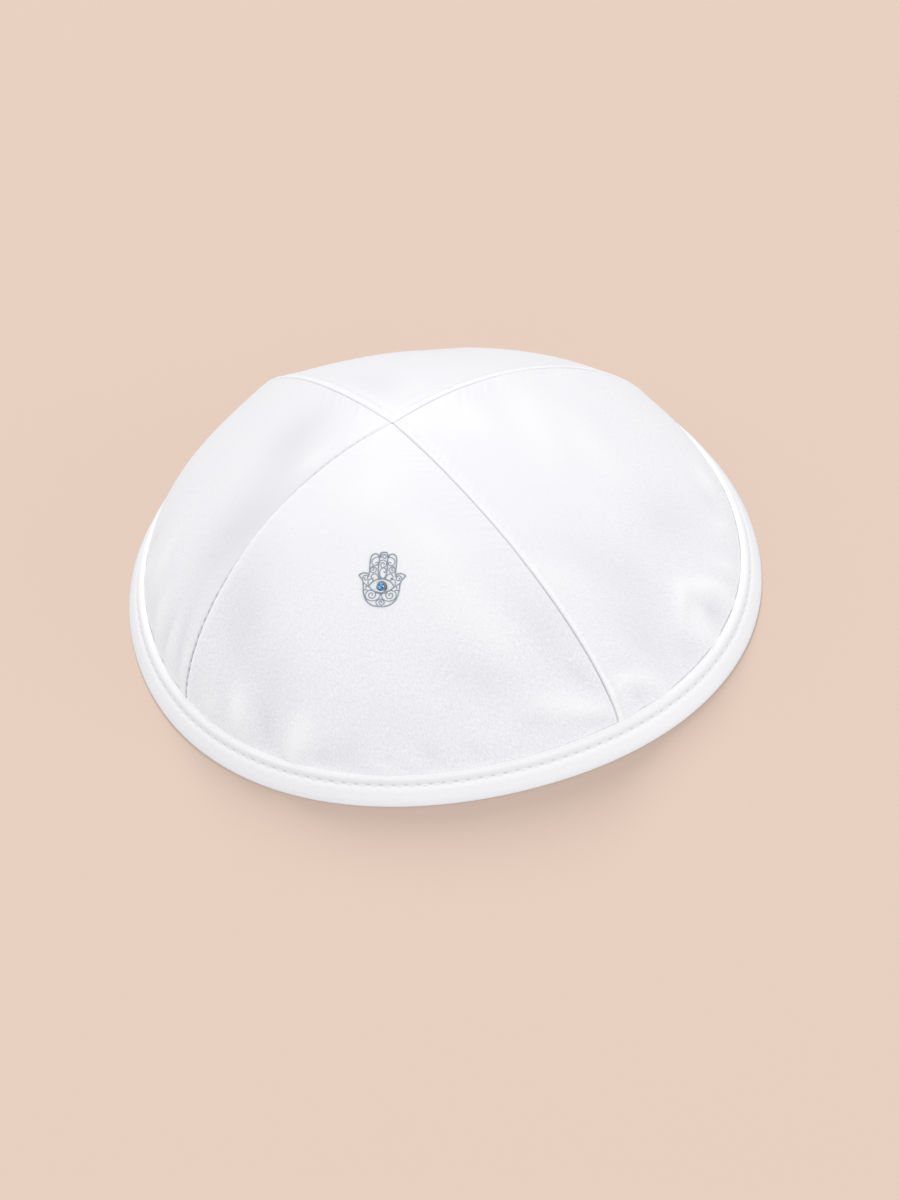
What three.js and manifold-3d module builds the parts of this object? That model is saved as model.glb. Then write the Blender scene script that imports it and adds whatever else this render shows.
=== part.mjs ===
import * as THREE from 'three';
import { mergeVertices } from 'three/addons/utils/BufferGeometryUtils.js';
import Module from 'manifold-3d';

// A four-panel satin skullcap standing on its rim, with a small pierced ornament on the front panel.
// Millimetres, +Z up, rest plane at z = 0, origin at the centre of the rim, front panel towards -Y.

// Driving dimensions of the cap
const rimRadius = 87.5;
const crownHeight = 55;
const clothWall = 1.1;
const leafWall = 1;
const bindingRise = 7;
const bindingSplay = 4.4;
const bindingFootRound = 0.6;
const clearance = 0.3;
const seamGap = 0.3;
const seamRollWidth = 2.4;
const seamRollShare = 1 / 6;
const apexLeanLeft = 7.6;
const apexLeanForward = 1.25;
const cornerBulge = 1.2;
const bulgeAzimuth = 61.3;

// Shape of the crown: how full its profile is, and how flat each panel lies between its seams near the top
const profilePower = 2.22;
const risePower = 1.535;
const flatShare = 0.778;
const flatnessFade = 2.13;

// Driving dimensions of the ornament
const emblemWidth = 12.4;
const emblemHeight = 14.9;
const emblemWall = 0.5;
const outlineStroke = 0.42;
const scrollStroke = 0.32;
const emblemAcross = 0.517;
const emblemDown = 0.432;
const stoneRadius = 1;
const stoneHeight = 0.75;
const stoneGap = 0.08;
const bezelWall = 0.3;
const bezelFloor = 0.3;

// Shares of the ornament's half sizes: height of the eye, and how far its lids reach to each side
const eyeHeight = -0.27;
const lidReach = 0.55;

// Facets
const bindingSteps = 80;
const crownRows = 16;
const hemRows = 2;
const middleColumns = 12;
const stoneSides = 8;
const bezelSides = 16;
const strokeSteps = 5;
const stepsPerTurn = 8;
const joinTolerance = 0.015;
const mergeTolerance = 1e-5;

// Steps of azimuth and down that measure the crown's slopes, and rounds of the search for a place on it
const slopeStep = 0.01;
const searchStep = 1e-4;
const searchRounds = 6;

// The four seams, by azimuth in degrees from +X
const backRightAzimuth = 45.6;
const backLeftAzimuth = 137;
const frontLeftAzimuth = 221.4;
const frontRightAzimuth = 308.5;

// The four panels anticlockwise from above. A roll is the turned edge beside a seam, as a share of the wall.
const panels = [
  { name: 'panel_back', from: backRightAzimuth, to: backLeftAzimuth, fromRoll: 0.5, toRoll: 0.5 },
  { name: 'panel_left', from: backLeftAzimuth, to: frontLeftAzimuth, fromRoll: 0.12, toRoll: 0.08 },
  { name: 'panel_front', from: frontLeftAzimuth, to: frontRightAzimuth, fromRoll: 0.5, toRoll: 0.12 },
  { name: 'panel_right', from: frontRightAzimuth, to: backRightAzimuth, fromRoll: 0.4, toRoll: 0.12 },
];

// Depth of the groove at a seam, as a share of the cloth's wall, and where rolls and folds start to settle
const grooveShare = 0.25;
const settleShare = 0.9;

// Soft folds. Across runs from a panel's first seam to its second, down from the apex to the binding.
// Length and width are shares of the rim's radius, height is a share of the wall, slant is in degrees.
const folds = [
  { panel: 'panel_left', across: 0.8, down: 0.78, length: 0.2, width: 0.04, height: -0.7, slant: -8 },
  { panel: 'panel_left', across: 0.865, down: 0.78, length: 0.18, width: 0.035, height: 0.55, slant: -8 },
  { panel: 'panel_left', across: 0.92, down: 0.82, length: 0.16, width: 0.03, height: -0.6, slant: -6 },
  { panel: 'panel_left', across: 0.68, down: 0.88, length: 0.12, width: 0.045, height: 0.5, slant: -14 },
  { panel: 'panel_front', across: 0.24, down: 0.88, length: 0.1, width: 0.05, height: 0.7, slant: 55 },
  { panel: 'panel_front', across: 0.36, down: 0.9, length: 0.08, width: 0.04, height: -0.5, slant: 35 },
  { panel: 'panel_front', across: 0.73, down: 0.89, length: 0.09, width: 0.045, height: 0.6, slant: -30 },
  { panel: 'panel_right', across: 0.08, down: 0.9, length: 0.08, width: 0.04, height: -0.8, slant: 10 },
  { panel: 'panel_right', across: 0.16, down: 0.87, length: 0.1, width: 0.05, height: 0.6, slant: 25 },
  { panel: 'panel_right', across: 0.3, down: 0.85, length: 0.12, width: 0.05, height: -0.9, slant: 40 },
  { panel: 'panel_right', across: 0.37, down: 0.79, length: 0.15, width: 0.045, height: 0.9, slant: 50 },
  { panel: 'panel_right', across: 0.46, down: 0.84, length: 0.1, width: 0.035, height: 0.6, slant: 20 },
  { panel: 'panel_back', across: 0.3, down: 0.86, length: 0.12, width: 0.05, height: -0.6, slant: 15 },
  { panel: 'panel_back', across: 0.62, down: 0.84, length: 0.12, width: 0.05, height: 0.6, slant: -20 },
  { panel: 'panel_left', across: 0.25, down: 0.3, length: 0.14, width: 0.06, height: -0.4, slant: 60 },
];

// Outer face of the binding from its top roll to the foot, as shares of its length and of a leaf's wall
const bindingFace = [
  { along: 0, lift: -0.4 },
  { along: 0.03, lift: 0.15 },
  { along: 0.1, lift: 0.5 },
  { along: 0.19, lift: 0.42 },
  { along: 0.25, lift: 0.05 },
  { along: 0.29, lift: -0.25 },
  { along: 0.34, lift: 0.02 },
  { along: 0.5, lift: 0.26 },
  { along: 0.75, lift: 0.28 },
  { along: 0.9, lift: 0.08 },
];

// Outer edge of the binding's foot, as shares of its round
const footRound = [
  { inward: 0.1, up: 1 },
  { inward: 0.3, up: 0.3 },
  { inward: 1, up: 0 },
];

// Open strokes of the ornament: cubic curves with a mirror image, in shares of its half width and height
const strokes = [
  { x0: 0.19, y0: 0.18, x1: 0.21, y1: 0.4, x2: 0.2, y2: 0.6, x3: 0.2, y3: 0.82 },
  { x0: 0.2, y0: 0.8, x1: 0.2, y1: 0.94, x2: 0.11, y2: 1, x3: -0.01, y3: 1 },
  { x0: 0.19, y0: 0.78, x1: 0.26, y1: 0.99, x2: 0.56, y2: 0.98, x3: 0.575, y3: 0.66 },
  { x0: 0.575, y0: 0.68, x1: 0.59, y1: 0.5, x2: 0.57, y2: 0.3, x3: 0.6, y3: 0.07 },
  { x0: 0.58, y0: 0.09, x1: 0.68, y1: 0.26, x2: 0.86, y2: 0.24, x3: 1, y3: 0.12 },
  { x0: 0.99, y0: 0.14, x1: 0.84, y1: 0.02, x2: 0.8, y2: -0.16, x3: 0.79, y3: -0.38 },
  { x0: 0.79, y0: -0.36, x1: 0.78, y1: -0.72, x2: 0.44, y2: -1, x3: -0.01, y3: -1 },
  { x0: 0.53, y0: -0.27, x1: 0.62, y1: -0.3, x2: 0.72, y2: -0.24, x3: 0.8, y3: -0.14 },
  { x0: 0.19, y0: 0.2, x1: 0.16, y1: 0.1, x2: 0.08, y2: 0.06, x3: -0.01, y3: 0.05 },
];

// Scrolls of the ornament: each winds from its core out to the place where it meets a stroke
const scrolls = [
  { x: 0, y: 0.83, toX: 0.2, toY: 0.78, turns: 1.2, mirror: false },
  { x: 0, y: 0.58, toX: -0.2, toY: 0.56, turns: -1.2, mirror: false },
  { x: 0, y: 0.33, toX: 0.2, toY: 0.3, turns: 1.2, mirror: false },
  { x: 0.39, y: 0.7, toX: 0.21, toY: 0.6, turns: -1.3, mirror: true },
  { x: 0.39, y: 0.4, toX: 0.58, toY: 0.48, turns: -1.3, mirror: true },
  { x: 0.37, y: 0.13, toX: 0.19, toY: 0.18, turns: 1.3, mirror: true },
  { x: 0.72, y: 0.06, toX: 0.87, toY: 0.03, turns: 1.2, mirror: true },
  { x: 0.39, y: -0.65, toX: 0.7, toY: -0.66, turns: -1.7, mirror: true },
  { x: 0.63, y: -0.42, toX: 0.79, toY: -0.4, turns: 1.1, mirror: true },
  { x: 0.1, y: -0.82, toX: 0, toY: -1, turns: 1.1, mirror: true },
];
const scrollCore = 0.3;

// Cut of the stone: its rings of corners and its table, as shares of its radius and height
const stoneRings = [
  { radius: 0.82, height: 0 },
  { radius: 1, height: 0.3 },
  { radius: 1, height: 0.4 },
];
const stoneTable = 0.56;

// Crown surface

const degrees = THREE.MathUtils.degToRad;
const up = new THREE.Vector3(0, 0, 1);
const faceLength = Math.hypot(bindingSplay, bindingRise);
const alongFace = { r: bindingSplay / faceLength, z: -bindingRise / faceLength };
const outFromFace = { r: bindingRise / faceLength, z: bindingSplay / faceLength };
const crownDepth = leafWall + clearance;
const slotDepth = crownDepth + clothWall + clearance;
const creaseRadius = rimRadius - bindingSplay;
const slotLength = (bindingRise - outFromFace.z * slotDepth - leafWall) / -alongFace.z;
const hemLength = slotLength - clearance;
const crownFoot = facePlace(0, crownDepth);

// A place in the binding's section: along its face from the top edge, and depth below the face
function facePlace(along, depth) {
  return {
    r: creaseRadius + along * alongFace.r - depth * outFromFace.r,
    z: bindingRise + along * alongFace.z - depth * outFromFace.z,
  };
}

// How far the rim swells at an azimuth
function bulge(azimuth) {
  return cornerBulge * Math.cos(4 * (azimuth - degrees(bulgeAzimuth)));
}

// The panel that holds an azimuth, with the azimuth measured on from the panel's first seam
function panelAt(azimuth) {
  for (const panel of panels) {
    const span = spanOf(panel);
    const past = THREE.MathUtils.euclideanModulo(azimuth - span.start, 2 * Math.PI);
    if (past < span.width) {
      return { across: past / span.width, width: span.width };
    }
  }
  return { across: 0, width: Math.PI / 2 };
}

function spanOf(panel) {
  const start = degrees(panel.from);
  const width = THREE.MathUtils.euclideanModulo(degrees(panel.to) - start, 2 * Math.PI);
  return { start, width };
}

// Share of the crown's radius that a row lies at
function reach(down) {
  return Math.sin(Math.min(down, 1) * Math.PI / 2) ** (2 / profilePower);
}

// The crown's smooth outer face. Past down = 1 it runs on as the hem inside the binding.
function crownPoint(azimuth, down) {
  const share = reach(down);
  const { across, width } = panelAt(azimuth);
  const chord = Math.cos(width / 2) / Math.cos((across - 0.5) * width);
  const flat = flatShare * (1 - share ** flatnessFade);
  const hem = hemLength * Math.max(0, down - 1);
  const swell = bulge(azimuth) * share ** 4;
  const radius = crownFoot.r * share * (1 - flat + flat * chord) + swell + hem * alongFace.r;
  const rise = Math.max(0, 1 - share ** profilePower) ** (1 / risePower);
  const lean = 1 - share * share;
  return new THREE.Vector3(
    radius * Math.cos(azimuth) - apexLeanLeft * lean,
    radius * Math.sin(azimuth) - apexLeanForward * lean,
    crownFoot.z + (crownHeight - crownFoot.z) * rise + hem * alongFace.z,
  );
}

function crownNormal(azimuth, down) {
  const aside = crownPoint(azimuth + slopeStep, down).sub(crownPoint(azimuth - slopeStep, down));
  const above = crownPoint(azimuth, Math.max(slopeStep / 10, down - slopeStep));
  const below = crownPoint(azimuth, down + slopeStep).sub(above);
  return below.cross(aside).normalize();
}

// Soft folds of one panel, as a height above the smooth face
function foldLift(panel, point) {
  let lift = 0;
  for (const fold of folds.filter((row) => row.panel === panel.name)) {
    const span = spanOf(panel);
    const azimuth = span.start + fold.across * span.width;
    const centre = crownPoint(azimuth, fold.down);
    const normal = crownNormal(azimuth, fold.down);
    const along = up.clone().projectOnPlane(normal).normalize();
    along.applyAxisAngle(normal, degrees(fold.slant));
    const aside = along.clone().cross(normal);
    const away = point.clone().sub(centre);
    const a = away.dot(along) / (fold.length * rimRadius);
    const b = away.dot(aside) / (fold.width * rimRadius);
    lift += fold.height * clothWall * Math.exp(-a * a - b * b);
  }
  return lift;
}

// Panels

// One panel of cloth: an outer and an inner face, closed along both seams and the hem
function makePanel(panel) {
  const span = spanOf(panel);
  const outer = [];
  const inner = [];
  const tipDown = Math.asin((seamGap / crownFoot.r) ** (profilePower / 2)) * 2 / Math.PI;
  const tip = crownPoint(span.start + span.width / 2, tipDown);
  outer.push([tip]);
  inner.push([tip.clone().addScaledVector(up, -clothWall)]);
  for (let row = 1; row <= crownRows + hemRows; row += 1) {
    const down = row <= crownRows ? row / crownRows : 1 + (row - crownRows) / hemRows;
    const settle = 1 - THREE.MathUtils.smoothstep(down, settleShare, 1);
    const arc = span.width * (crownFoot.r * reach(down));
    const roll = Math.min(seamRollWidth / arc, seamRollShare);
    const edge = seamGap / 2 / arc;
    const places = [
      { across: edge, lift: -grooveShare },
      { across: edge + roll / 2, lift: panel.fromRoll },
      { across: edge + roll, lift: 0 },
    ];
    for (let column = 1; column < middleColumns; column += 1) {
      const share = column / middleColumns;
      places.push({ across: THREE.MathUtils.lerp(edge + roll, 1 - edge - roll, share), lift: 0 });
    }
    places.push({ across: 1 - edge - roll, lift: 0 });
    places.push({ across: 1 - edge - roll / 2, lift: panel.toRoll });
    places.push({ across: 1 - edge, lift: -grooveShare });
    const outerRow = [];
    const innerRow = [];
    places.forEach((place, index) => {
      const azimuth = span.start + place.across * span.width;
      const atSeam = index === 0 || index === places.length - 1;
      const seamAzimuth = span.start + (index === 0 ? 0 : span.width);
      const normal = crownNormal(atSeam ? seamAzimuth : azimuth, down);
      const point = crownPoint(azimuth, down);
      const lift = place.lift * clothWall + (atSeam ? 0 : foldLift(panel, point));
      point.addScaledVector(normal, lift * settle);
      outerRow.push(point);
      innerRow.push(point.clone().addScaledVector(normal, -clothWall));
    });
    outer.push(outerRow);
    inner.push(innerRow);
  }
  return shell(outer, inner);
}

// Closed solid between two grids that each start at a single tip point
function shell(outer, inner) {
  const points = [];
  const index = [];
  const number = (grid) => grid.map((row) => row.map((point) => points.push(point) - 1));
  const top = number(outer);
  const under = number(inner);
  const last = top.length - 1;
  const end = top[1].length - 1;
  for (let column = 0; column < end; column += 1) {
    index.push(top[0][0], top[1][column], top[1][column + 1]);
    index.push(under[0][0], under[1][column + 1], under[1][column]);
    quad(index, top[last][column], under[last][column], under[last][column + 1], top[last][column + 1]);
    for (let row = 1; row < last; row += 1) {
      const next = column + 1;
      quad(index, top[row][column], top[row + 1][column], top[row + 1][next], top[row][next]);
      quad(index, under[row][column], under[row][next], under[row + 1][next], under[row + 1][column]);
    }
  }
  for (let row = 0; row < last; row += 1) {
    const right = row === 0 ? 0 : end;
    quad(index, top[row][0], under[row][0], under[row + 1][0], top[row + 1][0]);
    quad(index, top[row][right], top[row + 1][end], under[row + 1][end], under[row][right]);
  }
  return solidGeometry(points, index);
}

function quad(index, a, b, c, d) {
  index.push(a, b, c, a, c, d);
}

function solidGeometry(points, index) {
  const geometry = new THREE.BufferGeometry();
  const places = points.flatMap((point) => point.toArray());
  geometry.setAttribute('position', new THREE.Float32BufferAttribute(places, 3));
  geometry.setIndex(index);
  return geometry;
}

// Binding

// Section of the folded binding: outer leaf with its roll, flat foot, inner leaf, and the slot for the hem
function bindingSection() {
  const outerFace = bindingFace.map((row) => facePlace(row.along * faceLength, -row.lift * leafWall));
  const innerTop = clearance + leafWall / 2;
  const innerDepth = slotDepth + leafWall;
  const footInner = facePlace((bindingRise - outFromFace.z * innerDepth) / -alongFace.z, innerDepth);
  const toe = footRound.map(({ inward, up: above }) => (
    { r: rimRadius - inward * bindingFootRound, z: above * bindingFootRound }
  ));
  const heel = [
    { r: footInner.r + bindingFootRound / 2, z: 0 },
    facePlace((bindingRise - outFromFace.z * innerDepth - bindingFootRound) / -alongFace.z, innerDepth),
  ];
  const innerLeaf = [
    facePlace(innerTop + leafWall / 3, innerDepth),
    facePlace(innerTop, slotDepth + leafWall / 2),
    facePlace(innerTop + leafWall / 3, slotDepth),
  ];
  const slot = [
    facePlace(slotLength, slotDepth),
    facePlace(slotLength, leafWall),
    facePlace(leafWall / 2, leafWall),
  ];
  return [...outerFace, ...toe, ...heel, ...innerLeaf, ...slot];
}

function makeBinding() {
  const section = bindingSection();
  const points = [];
  const index = [];
  for (let step = 0; step < bindingSteps; step += 1) {
    const azimuth = step / bindingSteps * 2 * Math.PI;
    const nextStep = (step + 1) % bindingSteps * section.length;
    section.forEach((place, corner) => {
      const radius = place.r + bulge(azimuth);
      const nextCorner = (corner + 1) % section.length;
      points.push(new THREE.Vector3(radius * Math.cos(azimuth), radius * Math.sin(azimuth), place.z));
      const here = step * section.length;
      quad(index, here + corner, here + nextCorner, nextStep + nextCorner, nextStep + corner);
    });
  }
  return solidGeometry(points, index);
}

// Ornament

const wasm = await Module();
wasm.setup();

function toSolid(geometry) {
  const bare = new THREE.BufferGeometry();
  bare.setAttribute('position', geometry.getAttribute('position'));
  if (geometry.index) {
    bare.setIndex(geometry.index);
  }
  const merged = mergeVertices(bare, mergeTolerance);
  const vertProperties = new Float32Array(merged.getAttribute('position').array);
  const triVerts = new Uint32Array(merged.index.array);
  return new wasm.Manifold(new wasm.Mesh({ numProp: 3, vertProperties, triVerts }));
}

const halfWidth = (emblemWidth - outlineStroke) / 2;
const halfHeight = (emblemHeight - outlineStroke) / 2;
const stoneY = eyeHeight * halfHeight;
const bezelRadius = stoneRadius + stoneGap + bezelWall;

// A flat ribbon of even width along a line of points, as a solid one wall thick
function ribbon(line, width) {
  const left = [];
  const right = [];
  line.forEach((point, index) => {
    const before = line[Math.max(0, index - 1)];
    const after = line[Math.min(line.length - 1, index + 1)];
    const side = after.clone().sub(before).normalize();
    side.set(-side.y, side.x).multiplyScalar(width / 2);
    left.push(point.clone().add(side));
    right.unshift(point.clone().sub(side));
  });
  const shape = new THREE.Shape([...left, ...right]);
  return toSolid(new THREE.ExtrudeGeometry(shape, { depth: emblemWall, bevelEnabled: false }));
}

function strokeLine(row, side) {
  const corner = (x, y) => new THREE.Vector2(side * x * halfWidth, y * halfHeight);
  const curve = new THREE.CubicBezierCurve(
    corner(row.x0, row.y0),
    corner(row.x1, row.y1),
    corner(row.x2, row.y2),
    corner(row.x3, row.y3),
  );
  return curve.getPoints(strokeSteps);
}

function scrollLine(row, side) {
  const centre = new THREE.Vector2(side * row.x * halfWidth, row.y * halfHeight);
  const end = new THREE.Vector2(side * row.toX * halfWidth, row.toY * halfHeight).sub(centre);
  const steps = Math.ceil(Math.abs(row.turns) * stepsPerTurn);
  const line = [];
  for (let step = 0; step <= steps; step += 1) {
    const share = step / steps;
    const angle = end.angle() + side * row.turns * (share - 1) * 2 * Math.PI;
    const radius = end.length() * THREE.MathUtils.lerp(scrollCore, 1, share);
    line.push(new THREE.Vector2(Math.cos(angle), Math.sin(angle)).multiplyScalar(radius).add(centre));
  }
  return line;
}

// The two lids of the eye, which clear the bezel that sits between them. The middle of a cubic curve lies at
// three quarters of the height of its two inner corners.
const cubicCrest = 0.75;

function lidLine(direction) {
  const corner = lidReach * halfWidth;
  const rise = direction * (bezelRadius + clearance + outlineStroke / 2) / cubicCrest;
  const curve = new THREE.CubicBezierCurve(
    new THREE.Vector2(-corner, stoneY),
    new THREE.Vector2(-corner / 2, stoneY + rise),
    new THREE.Vector2(corner / 2, stoneY + rise),
    new THREE.Vector2(corner, stoneY),
  );
  return curve.getPoints(2 * strokeSteps);
}

// Frame of the ornament on the front panel: its centre, and which way is right, up and out
const front = panels.find((panel) => panel.name === 'panel_front');
const frontSpan = spanOf(front);
const seat = crownPoint(frontSpan.start + emblemAcross * frontSpan.width, emblemDown);
const seatOut = crownNormal(frontSpan.start + emblemAcross * frontSpan.width, emblemDown);
const seatUp = up.clone().projectOnPlane(seatOut).normalize();
const seatRight = seatUp.clone().cross(seatOut);

// Lays a point of the flat ornament on the panel, found by a few Newton steps over azimuth and down
function layOnPanel(x, y, height) {
  let azimuth = frontSpan.start + emblemAcross * frontSpan.width;
  let down = emblemDown;
  const miss = (a, d) => {
    const away = crownPoint(a, d).sub(seat);
    return [away.dot(seatRight) - x, away.dot(seatUp) - y];
  };
  for (let round = 0; round < searchRounds; round += 1) {
    const [missX, missY] = miss(azimuth, down);
    const [turnX, turnY] = miss(azimuth + searchStep, down);
    const [downX, downY] = miss(azimuth, down + searchStep);
    const a = (turnX - missX) / searchStep;
    const b = (downX - missX) / searchStep;
    const c = (turnY - missY) / searchStep;
    const d = (downY - missY) / searchStep;
    const area = a * d - b * c;
    azimuth -= (d * missX - b * missY) / area;
    down -= (a * missY - c * missX) / area;
  }
  return crownPoint(azimuth, down).addScaledVector(crownNormal(azimuth, down), clearance + height);
}

function makeEmblem() {
  const ribbons = [ribbon(lidLine(1), outlineStroke), ribbon(lidLine(-1), outlineStroke)];
  for (const row of strokes) {
    ribbons.push(ribbon(strokeLine(row, 1), outlineStroke));
    ribbons.push(ribbon(strokeLine(row, -1), outlineStroke));
  }
  for (const row of scrolls) {
    ribbons.push(ribbon(scrollLine(row, 1), scrollStroke));
    if (row.mirror) {
      ribbons.push(ribbon(scrollLine(row, -1), scrollStroke));
    }
  }
  const pierced = wasm.Manifold.union(ribbons).asOriginal().simplify(joinTolerance).getMesh();
  const points = [];
  for (let at = 0; at < pierced.vertProperties.length; at += pierced.numProp) {
    const [x, y, height] = pierced.vertProperties.slice(at, at + 3);
    points.push(layOnPanel(x, y, height));
  }
  return solidGeometry(points, Array.from(pierced.triVerts));
}

// Bezel: a small cup with a rounded lip, turned about its own axis
function makeBezel() {
  const lip = bezelFloor + stoneGap + stoneHeight / 2;
  const profile = [
    new THREE.Vector2(0, 0),
    new THREE.Vector2(bezelRadius, 0),
    new THREE.Vector2(bezelRadius, lip - bezelWall / 2),
    new THREE.Vector2(bezelRadius - bezelWall / 3, lip),
    new THREE.Vector2(bezelRadius - bezelWall * 2 / 3, lip),
    new THREE.Vector2(bezelRadius - bezelWall, lip - bezelWall / 2),
    new THREE.Vector2(bezelRadius - bezelWall, bezelFloor),
    new THREE.Vector2(0, bezelFloor),
  ];
  return new THREE.LatheGeometry(profile, bezelSides).rotateX(Math.PI / 2);
}

// Stone: flat back, girdle, and a crown of kite and star facets under an eight-sided table
function makeStone() {
  const count = 2 * stoneSides;
  const points = [];
  const index = [];
  for (const ring of stoneRings) {
    for (let side = 0; side < count; side += 1) {
      const angle = side / count * 2 * Math.PI;
      const x = ring.radius * stoneRadius * Math.cos(angle);
      const y = ring.radius * stoneRadius * Math.sin(angle);
      points.push(new THREE.Vector3(x, y, ring.height * stoneHeight));
    }
  }
  const tableStart = points.length;
  const tableAngle = (side) => (2 * side + 1) / count * 2 * Math.PI;
  for (let side = 0; side < stoneSides; side += 1) {
    const x = stoneTable * stoneRadius * Math.cos(tableAngle(side));
    const y = stoneTable * stoneRadius * Math.sin(tableAngle(side));
    points.push(new THREE.Vector3(x, y, stoneHeight));
  }
  for (let ring = 0; ring < stoneRings.length - 1; ring += 1) {
    for (let side = 0; side < count; side += 1) {
      const next = (side + 1) % count;
      const low = ring * count;
      const high = low + count;
      quad(index, low + side, low + next, high + next, high + side);
    }
  }
  const girdle = (stoneRings.length - 1) * count;
  for (let side = 0; side < stoneSides; side += 1) {
    const low = girdle + 2 * side;
    const middle = girdle + 2 * side + 1;
    const high = girdle + (2 * side + 2) % count;
    const here = tableStart + side;
    const next = tableStart + (side + 1) % stoneSides;
    index.push(low, middle, here);
    index.push(middle, high, here);
    index.push(here, high, next);
  }
  for (let side = 1; side < count - 1; side += 1) {
    index.push(0, side + 1, side);
  }
  for (let side = 1; side < stoneSides - 1; side += 1) {
    index.push(tableStart, tableStart + side, tableStart + side + 1);
  }
  return solidGeometry(points, index);
}

// Finishes

const satin = new THREE.MeshStandardMaterial({ color: 0xf0eff4, roughness: 0.42, metalness: 0 });
const bindingSatin = new THREE.MeshStandardMaterial({ color: 0xf6f6f8, roughness: 0.46, metalness: 0 });
const slateMetal = new THREE.MeshStandardMaterial({ color: 0x98a3ad, roughness: 0.5, metalness: 0.4 });
const silver = new THREE.MeshStandardMaterial({ color: 0x9da0a6, roughness: 0.25, metalness: 1 });
const blueGlass = new THREE.MeshStandardMaterial({ color: 0x3a8fd2, roughness: 0.08, metalness: 0 });

// Assembly

const group = new THREE.Group();

function addPiece(name, geometry, material, parent = group) {
  const mesh = new THREE.Mesh(geometry, material.clone());
  mesh.name = name;
  parent.add(mesh);
  return mesh;
}

for (const panel of panels) {
  addPiece(panel.name, makePanel(panel), satin);
}
addPiece('rim_binding', makeBinding(), bindingSatin);
addPiece('hamsa_emblem', makeEmblem(), slateMetal);

// The setting stands on the panel, square to it
const setting = new THREE.Group();
setting.position.copy(layOnPanel(0, stoneY, 0));
const settingOut = layOnPanel(0, stoneY, 1).sub(setting.position).normalize();
setting.quaternion.setFromUnitVectors(up, settingOut);
group.add(setting);
addPiece('eye_bezel', makeBezel(), silver, setting);
addPiece('eye_stone', makeStone(), blueGlass, setting).position.z = bezelFloor + stoneGap;

export default group;
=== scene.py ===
import math

import bpy
import numpy as np
from mathutils import Matrix, Vector


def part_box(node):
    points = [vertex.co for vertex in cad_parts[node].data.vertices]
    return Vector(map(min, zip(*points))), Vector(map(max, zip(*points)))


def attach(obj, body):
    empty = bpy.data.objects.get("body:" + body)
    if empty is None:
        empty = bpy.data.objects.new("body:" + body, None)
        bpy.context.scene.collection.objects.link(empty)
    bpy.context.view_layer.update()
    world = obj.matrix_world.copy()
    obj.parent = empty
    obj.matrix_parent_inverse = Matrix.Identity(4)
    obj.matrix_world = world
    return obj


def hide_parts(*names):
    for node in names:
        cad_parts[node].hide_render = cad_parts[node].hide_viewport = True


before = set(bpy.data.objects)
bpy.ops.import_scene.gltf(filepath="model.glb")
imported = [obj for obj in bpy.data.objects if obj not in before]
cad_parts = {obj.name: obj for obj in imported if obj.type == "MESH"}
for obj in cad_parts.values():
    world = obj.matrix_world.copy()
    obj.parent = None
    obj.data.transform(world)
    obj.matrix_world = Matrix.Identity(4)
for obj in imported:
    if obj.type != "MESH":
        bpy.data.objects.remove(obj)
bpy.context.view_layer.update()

# A four-panel satin skullcap on its rim. Metres, +Z up, front panel towards -Y.
mm = 0.001

# Sizes of the cap, the same as the solids have
cap = {
    "crownHeight": 55 * mm,
    "clothWall": 1.1 * mm,
    "leafWall": 1.0 * mm,
    "bindingRise": 7 * mm,
    "bindingSplay": 4.4 * mm,
    "clearance": 0.3 * mm,
    "apexLeanLeft": 7.6 * mm,
    "apexLeanForward": 1.25 * mm,
    "cornerBulge": 1.2 * mm,
    "bulgeAzimuth": math.radians(61.3),
    "profilePower": 2.22,
    "risePower": 1.535,
    "flatShare": 0.778,
    "flatnessFade": 2.13,
    "seams": {"backRight": 45.6, "backLeft": 137, "frontLeft": 221.4, "frontRight": 308.5},
}

# The frame gives the rim's half width at +X, where the rim swells a little
rimAtX = cap["cornerBulge"] * math.cos(-4 * cap["bulgeAzimuth"])
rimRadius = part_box("rim_binding")[1].x - rimAtX
faceLength = math.hypot(cap["bindingSplay"], cap["bindingRise"])
alongR, alongZ = cap["bindingSplay"] / faceLength, -cap["bindingRise"] / faceLength
crownDepth = cap["leafWall"] + cap["clearance"]
slotDepth = crownDepth + cap["clothWall"] + cap["clearance"]
slotLength = (cap["bindingRise"] - alongR * slotDepth - cap["leafWall"]) / -alongZ


# A place in the binding's section, from its distance down the face and its depth below the face
def facePlace(along, depth):
    radius = rimRadius - cap["bindingSplay"] + along * alongR + depth * alongZ
    return radius, cap["bindingRise"] + along * alongZ - depth * alongR


footRadius, footHeight = facePlace(0, crownDepth)


def smoothStep(low, high, value):
    share = np.clip((value - low) / (high - low), 0, 1)
    return share * share * (3 - 2 * share)


def unit(vectors):
    return vectors / np.maximum(np.linalg.norm(vectors, axis=-1, keepdims=True), 1e-12)


def bulge(azimuth):
    return cap["cornerBulge"] * np.cos(4 * (azimuth - cap["bulgeAzimuth"]))


# Where an azimuth lies in its panel, from 0 at one seam to 1 at the next, and the panel's angle
def panelShare(azimuth):
    starts = np.radians(sorted(cap["seams"].values()))
    steps = np.append(starts, starts[0] + 2 * np.pi) - starts[0]
    turned = np.mod(azimuth - starts[0], 2 * np.pi)
    place = np.clip(np.searchsorted(steps, turned, side="right") - 1, 0, 3)
    width = steps[place + 1] - steps[place]
    return (turned - steps[place]) / width, width


def reach(down):
    return np.sin(np.minimum(down, 1) * np.pi / 2) ** (2 / cap["profilePower"])


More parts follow.
